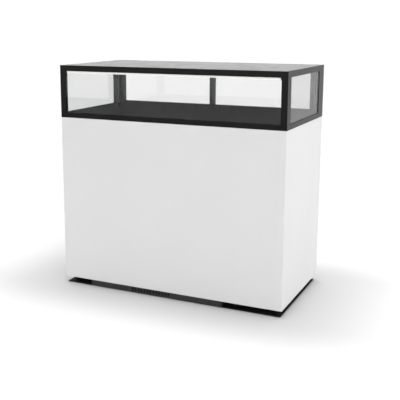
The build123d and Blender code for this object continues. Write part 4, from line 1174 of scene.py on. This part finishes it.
def corner_covers(sizes):
    """Black covers of the two front corners inside the glass, and thin ones over the light's ends."""
    gap = sizes.fit_gap
    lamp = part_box("led_diffuser")[0]
    pane_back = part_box("front_pane")[1].y
    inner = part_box("frame_rail")[1].x - POST_FACE
    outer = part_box("side_panes")[1].x - PANE_THICKNESS - gap
    face, under_lamp = pane_back + gap, lamp.z - gap
    bm = bmesh.new()
    box_pair(
        bm, inner, outer, (face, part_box("deck_glass")[1].z),
        (pane_back + sizes.cover_depth, under_lamp),
    )
    box_pair(
        bm, inner - sizes.lamp_cover, outer, (face, under_lamp - sizes.lamp_cover_drop),
        (lamp.y - gap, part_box("roof_tray")[0].z - gap),
    )
    ease_edges(bm, sizes.frame_edge)
    add_piece("corner_covers", bm, "case", "black_lacquer")


def post_highlight_strips(sizes):
    """Pale strips on the inner faces of the rear posts, in front of the door tracks. Their pale colour
    is a painted highlight, for the light that these faces of the posts catch.
    """
    low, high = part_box("rear_posts")
    inner = high.x - REAR_POST_FACE
    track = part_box("upper_track")[0]
    middle, half = (low.y + track.y) / 2, sizes.buffer_width / 2
    bm = bmesh.new()
    box_pair(
        bm, inner, inner - sizes.buffer_depth,
        (middle - half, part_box("deck_glass")[1].z + sizes.fit_gap),
        (middle + half, track.z - sizes.fit_gap),
    )
    ease_edges(bm, sizes.sheet_edge, 2)
    add_piece("post_highlight_strips", bm, "case", "gasket_rubber", "buffer_strip")


class CASE_OT_display_frame(bpy.types.Operator):
    """Finish the black rail, posts, roof and ceiling"""

    bl_idname = "case.display_frame"
    bl_label = "Display frame"

    def execute(self, context):
        sizes = context.scene.case_sizes
        for node in ("frame_rail", "front_posts", "rear_posts", "roof_tray"):
            eased_node(node, sizes.frame_edge)
        eased_node("ceiling_liner", sizes.sheet_edge, 2)
        corner_covers(sizes)
        post_highlight_strips(sizes)
        return {"FINISHED"}


class CASE_OT_glazing(bpy.types.Operator):
    """Finish the fixed panes and their gaskets"""

    bl_idname = "case.glazing"
    bl_label = "Glazing"

    def execute(self, context):
        sizes = context.scene.case_sizes
        eased_node("front_pane", sizes.glass_edge, 1)
        # The end panes get the darker tint, painted shade
        eased_node("side_panes", sizes.glass_edge, 1, look="side_glass")
        eased_node("glazing_gaskets", sizes.sheet_edge, 2)
        return {"FINISHED"}


class CASE_OT_light(bpy.types.Operator):
    """Finish the light strip under the roof"""

    bl_idname = "case.light"
    bl_label = "Light strip"

    def execute(self, context):
        sizes = context.scene.case_sizes
        eased_node("led_profile", sizes.vent_edge, 2)
        eased_node("led_diffuser", sizes.sheet_edge)
        paint("led_board")
        return {"FINISHED"}


def meeting_pile(sizes):
    """Pile strip on the inner door that brushes along the outer one."""
    low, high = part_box("left_slider_frame")
    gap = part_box("right_slider_frame")[0].y - high.y
    root = high.y + PILE_STEM
    height = min(sizes.pile_height, gap - PILE_STEM - PILE_CLEARANCE)
    foot, top = low.z + PILE_INSET, high.z - PILE_INSET
    bm = bmesh.new()
    box_at(bm, (-PILE_STEM_HALF, high.y, foot), (PILE_STEM_HALF, root, top))
    pile = box_at(bm, (-PILE_HALF, root, foot), (PILE_HALF, root + height, top))
    tips = [vert for vert in pile if vert.co.y > root + height / 2]
    bmesh.ops.scale(bm, vec=(PILE_TIP, 1.0, 1.0), verts=tips)
    ease_edges(bm, PILE_EDGE, 2)
    add_piece("meeting_pile", bm, BODY_OF["left_slider_frame"], "gasket_rubber", "pile_seal")


class CASE_OT_sliding_doors(bpy.types.Operator):
    """Finish the sliding doors and their tracks"""

    bl_idname = "case.sliding_doors"
    bl_label = "Sliding doors"

    def execute(self, context):
        sizes = context.scene.case_sizes
        for node in ("lower_track", "upper_track"):
            eased_node(node, sizes.frame_edge)
        for side in ("left", "right"):
            eased_node(f"{side}_slider_frame", sizes.frame_edge)
            eased_node(f"{side}_slider_glass", sizes.glass_edge, 1)
            eased_node(f"{side}_slider_gliders", sizes.plastic_edge, 2)
        meeting_pile(sizes)
        return {"FINISHED"}


class CASE_OT_deck(bpy.types.Operator):
    """Finish the heated deck and what lies under it"""

    bl_idname = "case.deck"
    bl_label = "Heated deck"

    def execute(self, context):
        sizes = context.scene.case_sizes
        eased_node("deck_glass", sizes.glass_edge, 2)
        eased_node("deck_tray", sizes.sheet_edge, 2)
        for node in ("heating_mats", "deck_insulation", "deck_sensor", "limit_thermostat"):
            paint(node)
        return {"FINISHED"}


def surround(scene, studio):
    """White surround to the eye, with a soft gradient for the light and one for the gloss."""
    world = bpy.data.worlds.new("studio_surround")
    world.use_nodes = True
    tree = world.node_tree
    tree.nodes.clear()
    way = shade(tree, "ShaderNodeTexCoord").outputs["Generated"]
    aim = shade(tree, "ShaderNodeSeparateXYZ", Vector=way).outputs
    path = shade(tree, "ShaderNodeLightPath").outputs
    across = remap(tree, aim["X"], (-1.0, 1.0), SIDE_LIGHT)
    steep = calculate(tree, "POWER", remap(tree, aim["Z"], end=(1.0, 0.0)), 2.0)
    shape = calculate(tree, "MULTIPLY", across, steep)
    level = calculate(tree, "MULTIPLY", shape, studio.fill)
    horizon = remap(tree, aim["Z"], HORIZON, GLOSS_LEVELS)
    backdrop = remap(tree, path["Is Camera Ray"], end=BACKDROP_LEVELS)
    light = shade(tree, "ShaderNodeBackground", Strength=level).outputs[0]
    gloss = shade(tree, "ShaderNodeBackground", Strength=horizon).outputs[0]
    white = shade(
        tree, "ShaderNodeBackground", Color=(1.0, 1.0, 1.0, 1.0), Strength=backdrop,
    ).outputs[0]
    bounces = calculate(tree, "ADD", path["Glossy Depth"], path["Diffuse Depth"])
    straight = calculate(tree, "LESS_THAN", bounces, 0.5)
    bounced = mix_shaders(tree, path["Is Diffuse Ray"], gloss, light)
    seen = mix_shaders(tree, straight, bounced, white)
    shade(tree, "ShaderNodeOutputWorld", Surface=seen)
    scene.world = world


def floor_paint_with_shadow():
    """Near white, with a painted shadow: a soft grey round the foot of the case that the eye and
    reflections see, while bounced light sees the even floor.
    """
    made = Finish("studio_floor", Roughness=0.9, Specular_IOR_Level=0.0)
    tree = made.tree
    place = made.place
    # Distance from the case's footprint, squashed across, for the painted shadow
    for operation, *terms in (
        ("ABSOLUTE",), ("SUBTRACT", (cad_high.x, cad_high.y, 0.0)), ("MAXIMUM", (0.0, 0.0, 0.0)),
        ("MULTIPLY", FLOOR_SHADOW_SQUASH),
    ):
        place = calculate(tree, operation, place, *terms, kind=VECTOR_MATH)
    away = calculate(tree, "LENGTH", place, kind=VECTOR_MATH, output="Value")
    spread = remap(tree, away, FLOOR_SHADOW_FADE, settings={"interpolation_type": "SMOOTHSTEP"})
    tones = blend(tree, spread, FLOOR_PAINTED_SHADOW, FLOOR_FAR)
    # Bounced light sees the even far tone, without the painted shadow
    bounce = shade(tree, "ShaderNodeLightPath").outputs["Is Diffuse Ray"]
    made.put(blend(tree, bounce, tones, FLOOR_FAR), "Base Color")
    return made.material


def card_paint():
    """Grey that gets paler towards the back."""
    made = Finish("grey_card", Roughness=0.9, Specular_IOR_Level=0.0)
    rearward = shade(made.tree, "ShaderNodeSeparateXYZ", Vector=made.place).outputs["Y"]
    back = remap(made.tree, rearward, CARD_FADE)
    made.put(blend(made.tree, back, CARD_DARK, CARD_PALE), "Base Color")
    return made.material


def flat_sheet(name, half, height, material):
    """Flat square object that lies level."""
    bm = bmesh.new()
    bmesh.ops.create_grid(bm, x_segments=1, y_segments=1, size=half)
    bmesh.ops.translate(bm, vec=(0.0, 0.0, height), verts=bm.verts)
    mesh = bpy.data.meshes.new(name)
    bm.to_mesh(mesh)
    bm.free()
    mesh.materials.append(material)
    sheet = bpy.data.objects.new(name, mesh)
    bpy.context.scene.collection.objects.link(sheet)
    return sheet


def studio_floor(studio):
    """Large pale floor with a painted shadow round the case."""
    floor = flat_sheet("studio_floor", studio.floor_side / 2, 0.0, floor_paint_with_shadow())


def grey_card(studio):
    """Grey card on the floor, seen only in reflections: it keeps the black paint black."""
    card = flat_sheet("grey_card", studio.floor_side / 3, CARD_HEIGHT, card_paint())
    card.visible_camera = False
    card.visible_diffuse = False
    card.visible_transmission = False
    card.visible_shadow = False


def add_sun(scene, studio):
    """Wide soft light from straight above."""
    lamp = bpy.data.lights.new("overhead", "SUN")
    lamp.energy = studio.sun
    lamp.angle = studio.sun_angle
    sun = bpy.data.objects.new("overhead", lamp)
    sun.rotation_euler = studio.sun_tilt
    scene.collection.objects.link(sun)


def add_camera(scene, studio):
    """Camera at the photograph's place."""
    lens = bpy.data.cameras.new("camera")
    lens.sensor_width = SENSOR_WIDTH
    lens.lens = studio.lens
    lens.shift_x, lens.shift_y = studio.shift
    camera = bpy.data.objects.new("camera", lens)
    camera.location = studio.camera_place
    camera.rotation_euler = (math.pi / 2 - studio.elevation, 0.0, studio.azimuth)
    scene.collection.objects.link(camera)
    scene.camera = camera


class CASE_OT_studio(bpy.types.Operator):
    """Set up the camera, floor and light"""

    bl_idname = "case.studio"
    bl_label = "Studio"

    def execute(self, context):
        studio = context.scene.case_studio
        surround(context.scene, studio)
        studio_floor(studio)
        grey_card(studio)
        add_sun(context.scene, studio)
        add_camera(context.scene, studio)
        context.scene.view_settings.view_transform = "Standard"
        return {"FINISHED"}


STEPS = (
    CASE_OT_foot, CASE_OT_body, CASE_OT_storage, CASE_OT_storage_doors, CASE_OT_fascia,
    CASE_OT_controls, CASE_OT_display_frame, CASE_OT_glazing, CASE_OT_light,
    CASE_OT_sliding_doors, CASE_OT_deck, CASE_OT_studio,
)


class CASE_PT_steps(bpy.types.Panel):
    """Lists the steps of the display case"""

    bl_idname = "CASE_PT_steps"
    bl_label = "Display Case"
    bl_space_type = "VIEW_3D"
    bl_region_type = "UI"
    bl_category = "Display Case"

    def draw(self, context):
        for step in STEPS:
            self.layout.operator(step.bl_idname)


GROUPS = {"case_colours": CaseColours, "case_sizes": CaseSizes, "case_studio": CaseStudio}


def register():
    for kind in (*GROUPS.values(), *STEPS, CASE_PT_steps):
        bpy.utils.register_class(kind)
    for name, kind in GROUPS.items():
        setattr(bpy.types.Scene, name, PointerProperty(type=kind))


def unregister():
    for name in GROUPS:
        delattr(bpy.types.Scene, name)
    for kind in (CASE_PT_steps, *reversed(STEPS), *GROUPS.values()):
        bpy.utils.unregister_class(kind)


def main():
    register()
    for step in STEPS:
        family, name = step.bl_idname.split(".")
        getattr(getattr(bpy.ops, family), name)()


if __name__ == "__main__":
    main()
